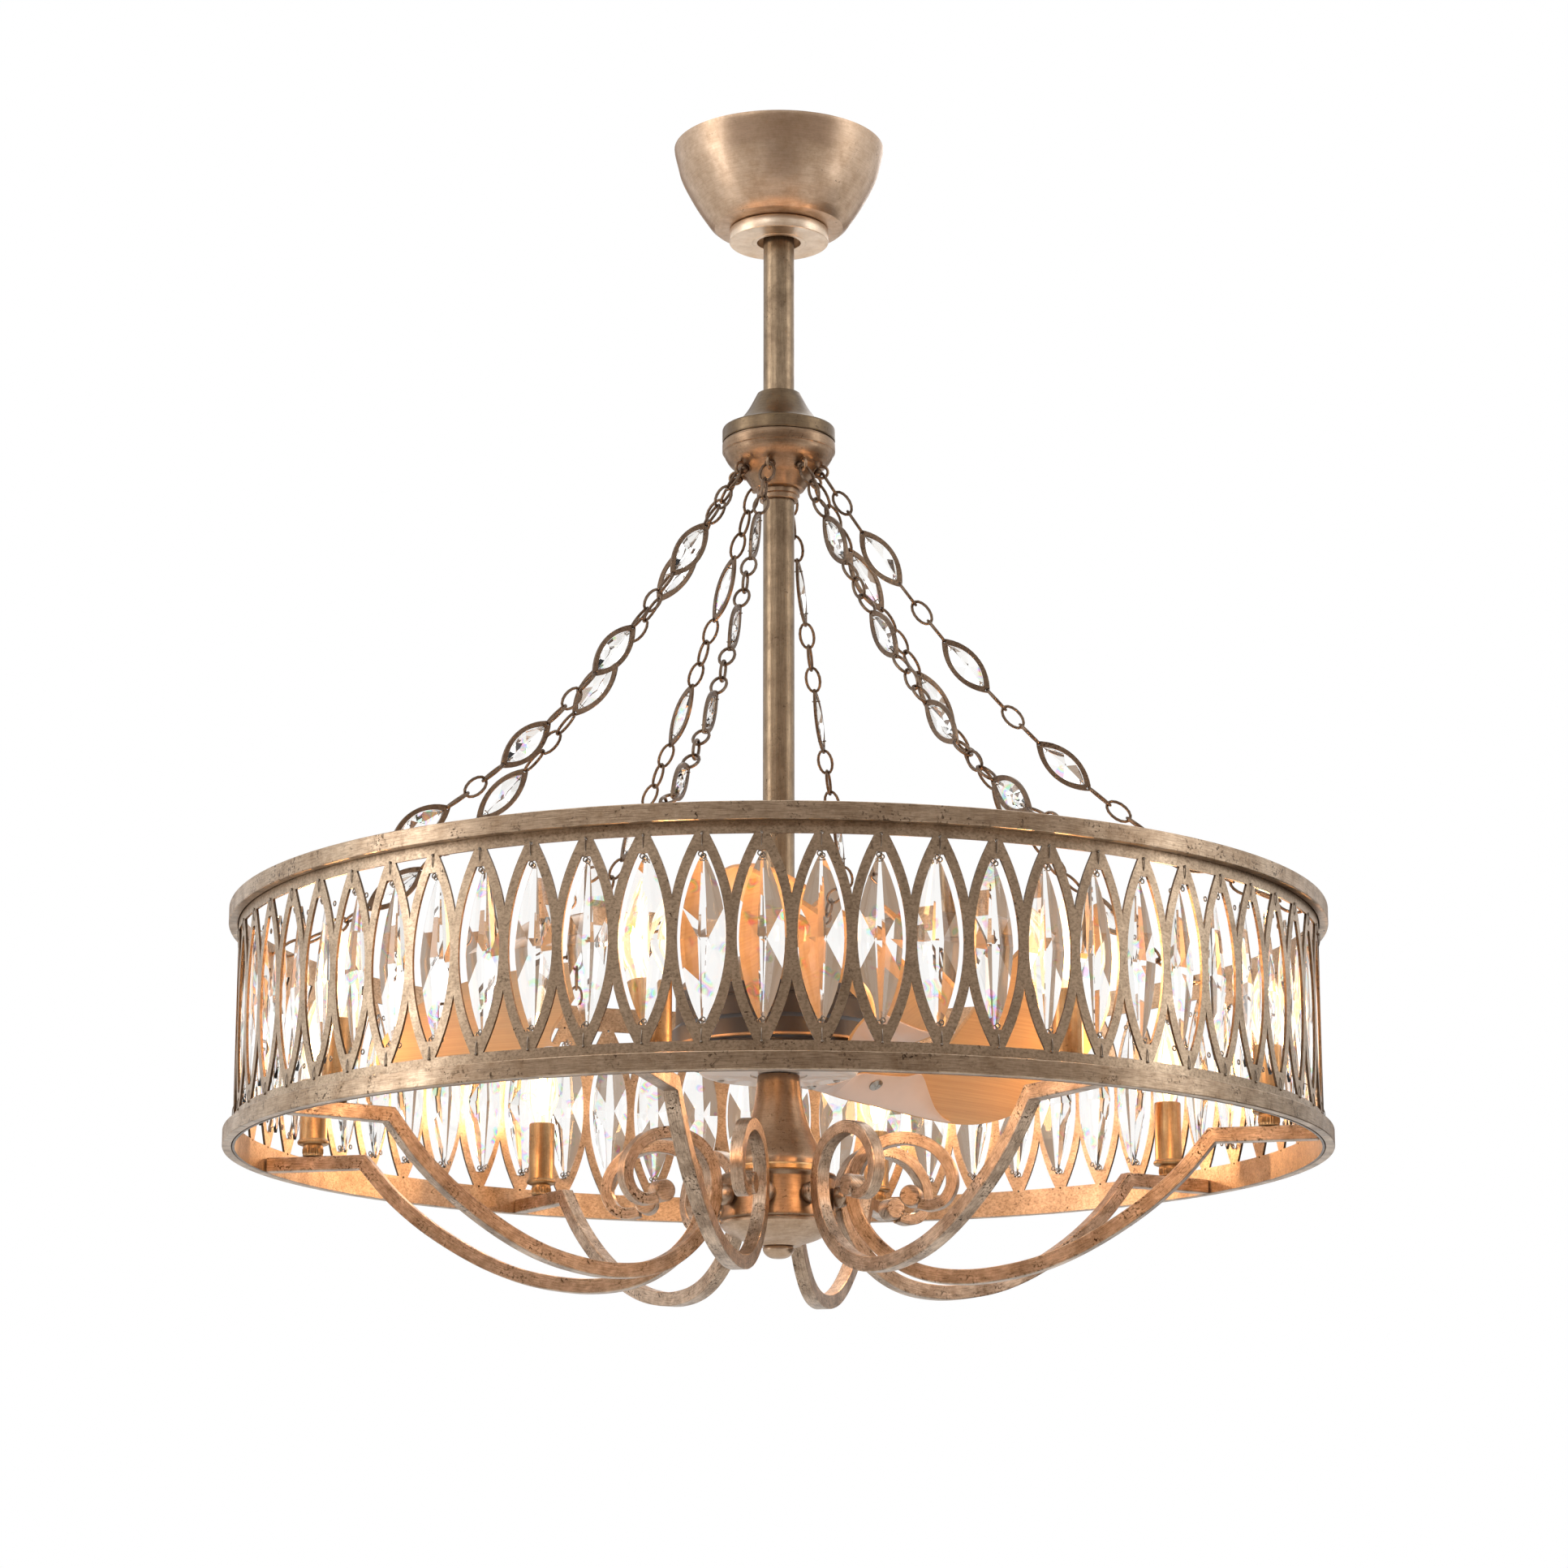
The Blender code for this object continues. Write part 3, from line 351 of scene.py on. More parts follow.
def antiqued(name, light, mid, dark, marks, streak, wear, coords="Object", metallic=0.9):
    """Metal leaf or bronze paint, brushed, with a brown glaze wiped into its scratches.

    Marks is the number of brush marks to a metre along each axis: most are about 1 mm wide and 12 mm
    long, a little coarser than real ones so that they show. Streak is how dark the glaze is in them.
    Patches of tone are 30 mm across. Brown pin marks of 2 mm gather in spots 18 mm apart, fewer where
    wear is higher."""
    material, tree, shader = new_finish(name, Metallic=metallic)
    place = add(tree, "TexCoord").outputs[coords]
    laid = add(tree, "Mapping", {"Vector": place, "Scale": marks})
    brushed = add(tree, "TexNoise", {"Vector": laid, "Scale": 1, "Detail": 3, "Roughness": 0.6})
    patches = add(tree, "TexNoise", {"Vector": place, "Scale": 34, "Detail": 8, "Roughness": 0.8})
    pits = add(tree, "TexNoise", {"Vector": place, "Scale": 430, "Detail": 1, "Roughness": 0.5})
    spots = add(tree, "TexNoise", {"Vector": place, "Scale": 55, "Detail": 4, "Roughness": 0.65})
    tone = add(tree, "MapRange", {"Value": patches, "From Min": 0.36, "From Max": 0.64})
    base = add(tree, "Mix", {0: tone, 6: rgb(mid), 7: rgb(light)}, data_type="RGBA").outputs[2]
    scratch = add(tree, "MapRange", {"Value": brushed, "From Min": 0.42, "From Max": 0.75, "To Max": streak})
    glazed = add(tree, "Mix", {0: scratch, 6: base, 7: rgb(dark)}, data_type="RGBA").outputs[2]
    worn = add(tree, "MapRange", {"Value": spots, "From Min": wear - 0.14, "From Max": wear + 0.06})
    pin_marks = add(tree, "MapRange", {"Value": pits, "From Min": wear - 0.06, "From Max": wear})
    pitted = add(tree, "Math", {0: worn, 1: pin_marks}, operation="MULTIPLY")
    brown = add(tree, "Mix", {0: pitted, 6: glazed, 7: rgb("#3A2A1C")}, data_type="RGBA").outputs[2]
    limits = {"Value": patches, "From Min": 0.3, "From Max": 0.7, "To Min": 0.42, "To Max": 0.27}
    dull = add(tree, "MapRange", limits)
    bump = add(tree, "Bump", {"Height": brushed, "Strength": 0.3 * streak, "Distance": 0.0006})
    fill(tree, shader, {"Base Color": brown, "Roughness": dull, "Normal": bump})
    return material


# Brushed round the drum and the turned pieces: the marks lie level
level_marks = (80, 80, 1250)
# Drawn tube: the marks run down it
upright_marks = (900, 900, 50)
# Flat bar: the marks follow its UV map, which is laid out in metres along and across it
along_marks = (90, 1100, 0)
# Rubbed by hand with steel wool: the marks are 2 mm long and lie every way
rubbed_marks = (420, 420, 640)

hoop_finish = antiqued("champagne_leaf_hoop", "#CDB59B", "#9C8268", "#57432F", level_marks, 0.6, 0.62)
lattice_finish = antiqued("champagne_leaf_lattice", "#D0B89D", "#A18A72", "#4C3B2B", rubbed_marks, 0.6, 0.66)
edge_finish = antiqued("champagne_leaf_cut_edge", "#6E5B48", "#4B3B2D", "#2C2118", rubbed_marks, 0.5, 0.6)
# The trim ring's leaf is a much paler copy of the champagne finish: painted light, for the light its
# underside catches from below
pale_lit_ring_finish = antiqued("champagne_leaf_trim_ring_painted_light", "#F0DCC6", "#D8BFA4", "#9C8064", level_marks, 0.25, 0.72)
spun_finish = antiqued("champagne_leaf_spun_steel", "#CFB49B", "#AC9075", "#7C634D", level_marks, 0.3, 0.7)
# The rods' leaf is a darker copy of the champagne finish: painted shade, for the dark surroundings that the
# tubes reflect
shaded_rod_finish = antiqued("champagne_leaf_tube_painted_shade", "#A08A70", "#796550", "#4E3F30", upright_marks, 0.4, 0.66)
arm_finish = antiqued("champagne_leaf_bar", "#DCC2A9", "#8F7761", "#3A2B1E", along_marks, 0.65, 0.6, "UV")
hub_finish = antiqued("champagne_leaf_casting", "#A68B71", "#826952", "#4E3D2E", level_marks, 0.3, 0.66)
cover_finish = antiqued("dark_bronze_spun_cover", "#7E6A51", "#605040", "#3E3022", level_marks, 0.3, 0.66)
brass_finish = antiqued("worn_brass", "#E6C090", "#BE9462", "#7D5C36", level_marks, 0.35, 0.68, metallic=1)
bronze_finish = antiqued("brown_bronze_paint", "#A98562", "#8A6748", "#5D4229", level_marks, 0.4, 0.68)
sleeve_finish = antiqued("gold_bronze_sleeve", "#C09A6C", "#94724E", "#634930", upright_marks, 0.4, 0.68)
chain_finish = antiqued("dark_bronze_wire", "#86705C", "#5F4C3D", "#382C21", rubbed_marks, 0.5, 0.62)


def satin_coat(name, code, roughness, metallic):
    """Sprayed enamel or bright plating: soft clouds of tone 30 mm across, under a fine peel of 1.5 mm
    that breaks up the gloss."""
    material, tree, shader = new_finish(name, Metallic=metallic, Coat_Weight=0.2)
    place = add(tree, "TexCoord").outputs["Object"]
    peel = add(tree, "TexNoise", {"Vector": place, "Scale": 650, "Detail": 2})
    cloud = add(tree, "TexNoise", {"Vector": place, "Scale": 30, "Detail": 3})
    paler = tuple(min(1, c * 1.25) for c in rgb(code)[:3]) + (1,)
    tone = add(tree, "Mix", {0: cloud, 6: rgb(code), 7: paler}, data_type="RGBA").outputs[2]
    dull = add(tree, "MapRange", {"Value": cloud, "To Min": roughness - 0.08, "To Max": roughness + 0.08})
    bump = add(tree, "Bump", {"Height": peel, "Strength": 0.12, "Distance": 0.0003})
    fill(tree, shader, {"Base Color": tone, "Roughness": dull, "Normal": bump})
    return material


# The motor's shell, its pale lower plate and the blades' sheet arms are sprayed
motor_finish = satin_coat("dark_bronze_enamel", "#2A221D", 0.36, 0.5)
pale_finish = satin_coat("pale_satin_enamel", "#E0D5C8", 0.42, 0)
holder_finish = satin_coat("blush_satin_enamel", "#C9B4A6", 0.4, 0.35)
# Screws, bearings and the hanger are plated, and the crystals' wires silvered, which makes them glint
zinc_finish = satin_coat("zinc_plated_steel", "#A39E97", 0.34, 1)
silver_finish = satin_coat("silvered_wire", "#857A6E", 0.24, 1)


def oak_veneer():
    """Light brown oak veneer under satin lacquer: grain lines 2.4 mm apart that run along the blade and
    sway a little, with pores 0.7 mm wide."""
    material, tree, shader = new_finish("light_oak_veneer", Coat_Weight=0.15, Coat_Roughness=0.35)
    place = add(tree, "TexCoord").outputs["UV"]
    sway = add(tree, "TexNoise", {"Vector": place, "Scale": 5, "Detail": 2}).outputs[1]
    moved = add(tree, "VectorMath", {0: sway, 1: (0, 0.02, 0)}, operation="MULTIPLY")
    bent = add(tree, "VectorMath", {0: place, 1: moved}, operation="ADD")
    along = add(tree, "Mapping", {"Vector": bent, "Scale": (2.5, 420, 1)})
    fine = add(tree, "Mapping", {"Vector": bent, "Scale": (38, 1500, 1)})
    grain = add(tree, "TexNoise", {"Vector": along, "Scale": 1, "Detail": 4, "Roughness": 0.6})
    pores = add(tree, "TexNoise", {"Vector": fine, "Scale": 1, "Detail": 2})
    tone = add(tree, "MapRange", {"Value": grain, "From Min": 0.25, "From Max": 0.75})
    body = add(tree, "Mix", {0: tone, 6: rgb("#B98751"), 7: rgb("#D2A46C")}, data_type="RGBA").outputs[2]
    pit = add(tree, "MapRange", {"Value": pores, "From Min": 0.55, "From Max": 0.72, "To Max": 0.2})
    wood = add(tree, "Mix", {0: pit, 6: body, 7: rgb("#8A6038")}, data_type="RGBA").outputs[2]
    dull = add(tree, "MapRange", {"Value": grain, "To Min": 0.42, "To Max": 0.6})
    bump = add(tree, "Bump", {"Height": pores, "Strength": 0.12, "Distance": 0.0003})
    fill(tree, shader, {"Base Color": wood, "Roughness": dull, "Normal": bump})
    return material


wood_finish = oak_veneer()


def cut_crystal():
    """Lead crystal, cut and polished: clear, with small rainbow flashes painted into its colour, where real
    crystal splits light.

    The painted flashes are about 6 mm across, and their colours run through the spectrum in about 9 mm."""
    material, tree, shader = new_finish("cut_lead_crystal", Roughness=0, IOR=1.52, Transmission_Weight=1)
    place = add(tree, "TexCoord").outputs["Object"]
    painted_fire = add(tree, "TexNoise", {"Vector": place, "Scale": 60, "Detail": 1})
    # Painted rainbow flashes: patches of colour that stand in for light split by the cut glass
    painted_flash = add(tree, "MapRange", {"Value": painted_fire, "From Min": 0.63, "From Max": 0.68, "To Max": 0.65})
    spread = add(tree, "TexNoise", {"Vector": place, "Scale": 110, "Detail": 0})
    wide = add(tree, "Math", {0: spread, 1: 3}, operation="MULTIPLY")
    hue = add(tree, "Math", {0: wide, 1: 1}, operation="MODULO")
    colour = add(tree, "CombineColor", {0: hue, 1: 0.75, 2: 1}, mode="HSV")
    painted_flash_tint = add(tree, "Mix", {0: painted_flash, 6: rgb("#FEFDFB"), 7: colour}, data_type="RGBA").outputs[2]
    fill(tree, shader, {"Base Color": painted_flash_tint})
    return material


crystal_finish = cut_crystal()
# Blown lamp glass, thin and clear, with a little of the filament's glow in it
bulb_finish, _, _ = new_finish(
    "clear_lamp_glass", Base_Color=rgb("#FFFBF4"), Roughness=0, IOR=1.45,
    Transmission_Weight=1, Emission_Color=rgb("#FFDCA8"), Emission_Strength=0.24,
)
# The lit filament, warm white
glow_finish, _, _ = new_finish(
    "lit_filament", Base_Color=rgb("#FFD9A8"), Emission_Color=rgb("#FFC888"), Emission_Strength=60
)


# Ceiling end


canopy_hole, canopy_foot, canopy_wall, canopy_lip = 0.0255, -0.0745, 0.0013, -0.0001
canopy_side = curve(
    [(0.0915, 0), (0.091, -0.004), (0.0886, -0.014), (0.0846, -0.028), (0.0731, -0.05), (0.063, -0.0655)], 5
)
canopy_side += [(0.0598, -0.07), (0.056, -0.0732), (0.051, canopy_foot)]
# The inside lies the wall's width in and a little up, and its edge a hair below the ceiling
canopy_inside = [(r - canopy_wall, min(z + 0.0006, canopy_lip)) for r, z in reversed(canopy_side)]
hole_side = [(canopy_hole, canopy_foot), (canopy_hole, canopy_foot + canopy_wall)]
canopy = turned(canopy_side + hole_side + canopy_inside, steps=128)
piece("canopy_cover", canopy, spun_finish, "canopy", body="mount")
ring_side = [
    (0.019, -0.0748), (0.042, -0.0748), (0.0432, -0.076), (0.0432, -0.0862), (0.0424, -0.0866),
    (0.0392, -0.086), (0.0235, -0.086), (0.0228, -0.0866), (0.019, -0.0866),
]
trim_ring = turned(ring_side, edge=0.0005)
piece("canopy_trim_ring", trim_ring, pale_lit_ring_finish, "canopy_ring", body="mount")

# Rods, coupling cover and chain hub
rod_radius, rod_bore = 0.01335, 0.01055
# Inside the hanger ball the rod is turned down a little, which leaves it room to sway
turned_radius, turned_length, shoulder = 0.013, 0.0445, 0.0006
for name, node in (("upper_rod", "upper_downrod"), ("lower_rod", "lower_downrod")):
    low, high = level(node)
    outside = [(rod_radius, high), (rod_radius, low)]
    if name == "upper_rod":
        step = high - turned_length
        outside = [(turned_radius, high), (turned_radius, step + shoulder), (rod_radius, step)]
        outside += [(rod_radius, low)]
    tube = turned(outside + [(rod_bore, low), (rod_bore, high)], steps=64, edge=0.0003)
    piece(name, tube, shaded_rod_finish, node)

rod_clear = 0.01365
cover_side = curve(
    [(0.0187, 0), (0.0212, -0.005), (0.0254, -0.013), (0.03, -0.02), (0.0352, -0.0262), (0.04, -0.0297)], 4
)
cover_side += [
    (0.0402, -0.0303), (0.0466, -0.0312), (0.0481, -0.032), (0.0486, -0.0332), (0.0486, -0.0426),
    (0.0481, -0.0435), (0.047, -0.0435), (0.0455, -0.033), (0.038, -0.031), (0.03, -0.022), (0.017, -0.002),
    (rod_clear, -0.002), (rod_clear, 0),
]
turned_piece("coupling_cover_shell", cover_side, cover_finish, "coupling_cover")

hub_side = [
    (rod_clear, 0), (0.047, 0), (0.047, -0.001), (0.0481, -0.0012), (0.0486, -0.002), (0.0486, -0.0088),
    (0.0482, -0.0096), (0.0474, -0.01),
]
hub_side += curve(
    [
        (0.047, -0.0108), (0.0458, -0.014), (0.042, -0.0196), (0.0352, -0.0252), (0.0298, -0.0305),
        (0.0256, -0.0365), (0.0224, -0.0414),
    ], 4
)
hub_side += [
    (0.0218, -0.0424), (0.02, -0.0432), (0.0178, -0.0434), (0.018, -0.0452), (0.018, -0.0478),
    (0.0165, -0.0484), (0.0165, -0.0522), (0.0158, -0.0528), (rod_clear, -0.0528),
]
hub = turned(hub_side, height=level("chain_hub")[1])
eye_radius, eye_thick = 0.0052, 0.0026
upright_eye = Matrix.Translation(hub_eye) @ about("X", pi / 2)
copies(hub, template(ring(eye_radius, eye_thick), upright_eye), around(arm_turns))
piece("chain_hub_casting", hub, hub_finish, "chain_hub", smooth=30)
# A washer with a round nut on it behind each eye, square to the hub's slope
bolt = turned([(0, 0.0012), (0.0042, 0.0012), (0.0048, 0.0006), (0.0048, -0.003), (0, -0.003)], 24)
bmesh.ops.create_uvsphere(bolt, u_segments=20, v_segments=14, radius=0.0037, matrix=at(0, 0, 0.0036))
lean = about("Y", radians(127))
bolt_mesh = template(bolt, Matrix.Translation(hub_eye + Vector((-0.006, 0, 0.0018))) @ lean)
bolts = copies(bmesh.new(), bolt_mesh, around(arm_turns))
piece("eye_bolt_heads", bolts, chain_finish, smooth=40)


# Chains


jewel_pitch = 0.06
link_width, link_thick = 0.015, 0.0026
link_kinds = (["link"] * 3 + ["jewel"]) * 4 + ["link"] * 4
chain_sag = 0.066


def chain_path(samples=200):
    """Points down one chain, from the hub's eye to the drum's."""
    shares = [i / samples for i in range(samples + 1)]
    return [hub_eye.lerp(rim_eye, t) - Vector((0, 0, 4 * chain_sag * t * (1 - t))) for t in shares]


def point_on(path, distance):
    """The point at a distance along a path, and the path's direction there."""
    for a, b in zip(path, path[1:]):
        step = (b - a).length
        if distance <= step or b is path[-1]:
            return a.lerp(b, distance / step), (b - a).normalized()
        distance -= step


def chain_places():
    """(kind, place) of each link: X along the chain, and each link a quarter turn from the last."""
    path = chain_path()
    total = sum((b - a).length for a, b in zip(path, path[1:]))
    pitch = (total - 2 * link_thick - 4 * jewel_pitch) / link_kinds.count("link")
    across = Vector((0, 1, 0))
    places, start = [], link_thick
    for i, kind in enumerate(link_kinds):
        length = pitch if kind == "link" else jewel_pitch
        centre, along = point_on(path, start + length / 2)
        side = along.cross(across) if i % 2 else across
        turn = Matrix((along, side, along.cross(side))).transposed().to_4x4()
        places.append((kind, Matrix.Translation(centre) @ turn))
        start += length
    return places, pitch


link_places, link_pitch = chain_places()
link_bend = link_width / 2 - link_thick / 2
link_stretch = link_pitch / 2 + link_thick / 2 - link_bend
link_mesh = template(ring(link_bend, link_thick, link_stretch, steps=16))
jewel_rim = [(x, y) for y, x in closed_lens(0.0125, 0.032, 14)]
jewel_hole = [(x, y) for y, x in closed_lens(0.0088, 0.0245, 12)]
jewel_eyes = [circle(0.0013, x, 0) for x in (0.0283, -0.0283)]
jewel_frame = plate([jewel_rim, jewel_hole, *jewel_eyes], thickness=0.0024)
jewel_mesh = template(eased(jewel_frame, 0.0003, segments=1, least=1))
stone_mesh = template(cut_stone(0.0084, 0.0236, 0.0034), about("Z", pi / 2))
# Near each end of a stone, a pin goes through it and a wire runs from the pin to the frame
pin = bmesh.new()
for end in (0.0195, -0.0195):
    wire(pin, [(end, 0, -0.0036), (end, 0, 0.0036)], radius=0.0006, sides=6)
    wire(pin, [(end, 0, 0.0026), (end * 1.26, 0, 0.0014)], radius=0.0004, sides=5)
pin_mesh = template(pin)

stones, pins = bmesh.new(), bmesh.new()
for i, place in enumerate(around(arm_turns)):
    links = bmesh.new()
    copies(links, link_mesh, [place @ m for kind, m in link_places if kind == "link"])
    jewels = [place @ m for kind, m in link_places if kind == "jewel"]
    copies(links, jewel_mesh, jewels)
    copies(stones, stone_mesh, jewels)
    copies(pins, pin_mesh, jewels)
    piece(f"chain_links_{i + 1}", links, chain_finish, f"chain_{i + 1}", slot="dark_bronze_wire", smooth=40)
chain_stones = piece("chain_stones", stones, crystal_finish, slot="cut_crystal", smooth=0)
piece("chain_stone_pins", pins, silver_finish, slot="zinc_plated_steel", smooth=75)


# Drum


hoop_outer, hoop_inner, hoop_height = 0.4568, 0.4492, 0.0136


def hoop(low, name, node):
    """A flat bar hoop outside the band."""
    high = low + hoop_height
    section = [(hoop_outer, high), (hoop_outer, low), (hoop_inner, low), (hoop_inner, high)]
    piece(name, turned(section, steps=256, edge=0.0007), hoop_finish, node)


hoop(drum_z, "lower_hoop", "bottom_hoop")
hoop(drum_z + drum_height - hoop_height, "upper_hoop", "top_hoop")

band_radius, band_thick = 0.4475, 0.002
half_cell = band_radius * cell_angle / 2
strip_edge = 0.0765
waist = 0.0312
oval_turns = [turn_to(first_oval) + i * cell_angle for i in range(oval_count)]
# A cell has X across, Y up and Z out, and this turns those to the drum's axes
upright = Matrix(((0, 0, 1, 0), (1, 0, 0, 0), (0, 1, 0, 0), (0, 0, 0, 1)))


def band_cell():
    """One cell of the pierced band: a pointed-oval frame that merges with its neighbours and with both
    strips. Its cut edges take the band's second finish."""
    half = drum_height / 2
    side = lens(0.0252, 0.0855, 24)
    side = [(x, y) for x, y in side if abs(y) < strip_edge and x < half_cell - 0.0004]
    right = [(half_cell * i / 3, -half) for i in range(4)] + [(half_cell, -strip_edge)]
    right += [(half_cell * 0.6, -strip_edge), (0.0056, -strip_edge)]
    right += [(x, y) for x, y in side if y < 0]
    right += [(half_cell, -waist), (half_cell, 0), (half_cell, waist)]
    right += [(x, y) for x, y in side if y > 0]
    right += [(0.0056, strip_edge), (half_cell * 0.6, strip_edge), (half_cell, strip_edge)]
    right += [(half_cell * i / 3, half) for i in (3, 2, 1, 0)]
    rim = right + [(-x, y) for x, y in reversed(right[1:-1])]
    opening = [(x, y) for x, y in closed_lens(0.0181, 0.0704, 20) if abs(y) < 0.0672]
    wire_holes = [circle(0.0011, 0, y, 6) for y in (0.0772, -0.0772)]
    bm = plate([rim, opening, *wire_holes], band_thick)
    for face in bm.faces:
        face.material_index = int(abs(face.normal.z) < 0.5)
    ends = [face for face in bm.faces if abs(face.calc_center_median().x) > half_cell - 1e-6]
    bmesh.ops.delete(bm, geom=ends, context="FACES_ONLY")
    for vert in bm.verts:
        turn = vert.co.x / band_radius
        out = band_radius + vert.co.z
        vert.co = (out * cos(turn), out * sin(turn), vert.co.y + drum_z + half)
    return template(bm)


band = copies(bmesh.new(), band_cell(), around(oval_turns))
bmesh.ops.remove_doubles(band, verts=band.verts, dist=2e-5)
outward(band)
rim_ring = template(ring(eye_radius, eye_thick), Matrix.Translation(rim_eye))
copies(band, rim_ring, around(arm_turns))
pierced = piece("pierced_band", band, lattice_finish, "lattice_band", smooth=40)
pierced.data.materials.append(edge_finish)

gem_radius = 0.4398
gem_centre = at(gem_radius, 0, drum_z + drum_height / 2) @ upright
# Hung on wires, the stones turn up to 2.4 degrees from true, each its own way
gem_places = [
    place @ gem_centre @ about("Y", radians(2.4 * sin(5.1 * i)))
    for i, place in enumerate(around(oval_turns))
]
drum_gems = copies(bmesh.new(), template(cut_stone(0.0168, 0.065, 0.0058)), gem_places)
drum_stones = piece("drum_crystals", drum_gems, crystal_finish, "crystals", slot="cut_crystal", smooth=0)

# The wire from the band to each end of a stone, with its loops and the bead behind the strip
hooks = bmesh.new()
for end in (1, -1):
    path = [
        (0, 0.0774, 0.006), (0, 0.0774, 0.009), (0, 0.0765, 0.0096), (0, 0.071, 0.0094),
        (0, 0.0675, 0.0084), (0.0006, 0.064, 0.0066), (0.0008, 0.0615, 0.0054), (0, 0.0596, 0.0015),
    ]
    path = [(x, y * end, z) for x, y, z in smooth_line(path, 3)]
    wire(hooks, path, radius=0.0004, sides=5)
    for x, y, z in ((0.0008, 0.0606, 0.0056), (-0.0012, 0.0622, 0.0052), (0, 0.0606, -0.0056)):
        loop = template(ring(0.0018, 0.0011, steps=12, sides=6))
        copies(hooks, loop, [at(x, y * end, z)])
    # The bead is the wire's twisted end, and also a dark dot that stands in for the shadow in its hole:
    # partly painted shade
    bead_and_hole_shade = at(0, 0.0774 * end, 0.009)
    bmesh.ops.create_icosphere(hooks, subdivisions=1, radius=0.0013, matrix=bead_and_hole_shade)
hooks = copies(bmesh.new(), template(hooks), gem_places)
piece("crystal_hooks", hooks, silver_finish, slot="zinc_plated_steel", smooth=75)


# Motor


dome_side = [(0.0195, 0), (0.03, 0)]
dome_side += curve(
    [(0.031, -0.001), (0.043, -0.003), (0.057, -0.0072), (0.073, -0.016), (0.0815, -0.0245)], 4
)
dome_side += [
    (0.0847, -0.03), (0.0847, -0.0328), (0.0835, -0.0328), (0.079, -0.0235), (0.056, -0.009),
    (0.0195, -0.002),
]
turned_piece("motor_dome", dome_side, bronze_finish, "motor_cover", slot="brown_bronze")

foot = foot_of("rotor")
shell_side = [
    (0.0178, 0), (0.085, 0), (0.086, -0.001), (0.086, -0.009), (0.0853, -0.0096), (0.0853, -0.0108),
    (0.086, -0.0114), (0.086, -0.027), (0.0885, -0.0296), (0.0898, -0.0312), (0.0898, -0.045),
    (0.089, -0.0466), (0.0872, -0.048), (0.0866, foot + 0.002), (0.0856, foot), (0.0178, foot),
]
turned_piece(
    "rotor_shell", shell_side, motor_finish, "rotor", steps=128, body="rotor", slot="dark_motor_enamel"
)
rim_side = [(0.0903, -0.044), (0.0903, -0.0458), (0.088, -0.047), (0.088, -0.044)]
rotor_rim = turned(rim_side, steps=128, height=level("rotor")[1])
piece("rotor_rim", rotor_rim, bronze_finish, body="rotor", slot="brown_bronze")

foot = foot_of("motor_bottom_plate")
disc_side = [
    (0.0095, 0), (0.064, 0), (0.066, -0.001), (0.0667, -0.003), (0.0663, -0.0052), (0.0645, -0.007),
    (0.0615, foot), (0.024, foot), (0.0232, foot + 0.001), (0.0095, foot + 0.001),
]
turned_piece(
    "switch_plate", disc_side, pale_finish, "motor_bottom_plate", steps=128, slot="pale_plate_enamel"
)


def screw_head(radius, height):
    """A domed screw head on the XY plane, face down, with a thin cross on it that reads as its slot."""
    side = [(0, -height), (radius * 0.5, -height * 0.92), (radius, -height * 0.35), (radius, 0), (0, 0)]
    bm = turned(side, steps=20)
    bar = Matrix.Diagonal((radius * 0.9, radius * 0.16, height * 0.1, 1))
    for turn in (0, pi / 2):
        verts = bmesh.ops.create_cube(bm, size=1)["verts"]
        place = about("Z", turn) @ at(0, 0, -height) @ bar
        bmesh.ops.transform(bm, matrix=place, verts=verts)
    return template(bm)


plate_screw = at(0.056, 0, level("motor_bottom_plate")[0])
plate_screws = copies(
    bmesh.new(), screw_head(0.003, 0.0014),
    [place @ plate_screw for place in around(radians(30 + 120 * i) for i in range(3))],
)
piece("plate_screws", plate_screws, zinc_finish, slot="zinc_plated_steel")


# Blades


blade_reach, blade_half_width, blade_thickness = 0.358, 0.11, 0.0036
blade_pitch = radians(38)
rotor_gap = 0.0003
tab_drop = rotor_gap + blade_thickness / 2
paddle_rise = 0.0465
# The blade twists about this line, so that its tab lies flat under the rotor
twist_line = (paddle_rise + tab_drop) / sin(blade_pitch)
twist_start, twist_end = 0.246 * blade_reach, 0.377 * blade_reach
# The outline, in shares of the reach and the half width: from the screwed tab out along the trailing
# edge, round the tip and back along the neck
blade_rim = [
    (0.162, 0.814), (0.293, 0.795), (0.41, 0.822), (0.531, 0.864), (0.63, 0.899), (0.726, 0.918),
    (0.79, 0.91), (0.838, 0.877), (0.885, 0.806), (0.922, 0.709), (0.955, 0.602), (0.975, 0.5),
    (0.992, 0.31), (1, 0.109), (0.997, -0.04), (0.989, -0.182), (0.974, -0.36), (0.953, -0.527),
    (0.922, -0.66), (0.88, -0.764), (0.828, -0.843), (0.768, -0.9), (0.712, -0.946), (0.656, -0.973),
    (0.622, -0.985), (0.595, -0.975), (0.575, -0.945), (0.563, -0.88), (0.559, -0.6), (0.559, 0),
    (0.557, 0.14), (0.55, 0.255), (0.538, 0.345), (0.517, 0.418), (0.492, 0.462), (0.461, 0.486),
    (0.38, 0.494), (0.293, 0.5), (0.162, 0.509),
]
# The metal arm that carries the paddle covers its neck, above and below
arm_rim = [
    (0.19, 0.53), (0.293, 0.516), (0.4, 0.508), (0.47, 0.498), (0.505, 0.48), (0.532, 0.44), (0.555, 0.48),
    (0.585, 0.57), (0.623, 0.685), (0.66, 0.785), (0.7, 0.86), (0.735, 0.9), (0.7, 0.9), (0.63, 0.884),
    (0.531, 0.85), (0.41, 0.808), (0.293, 0.78), (0.19, 0.79),
]


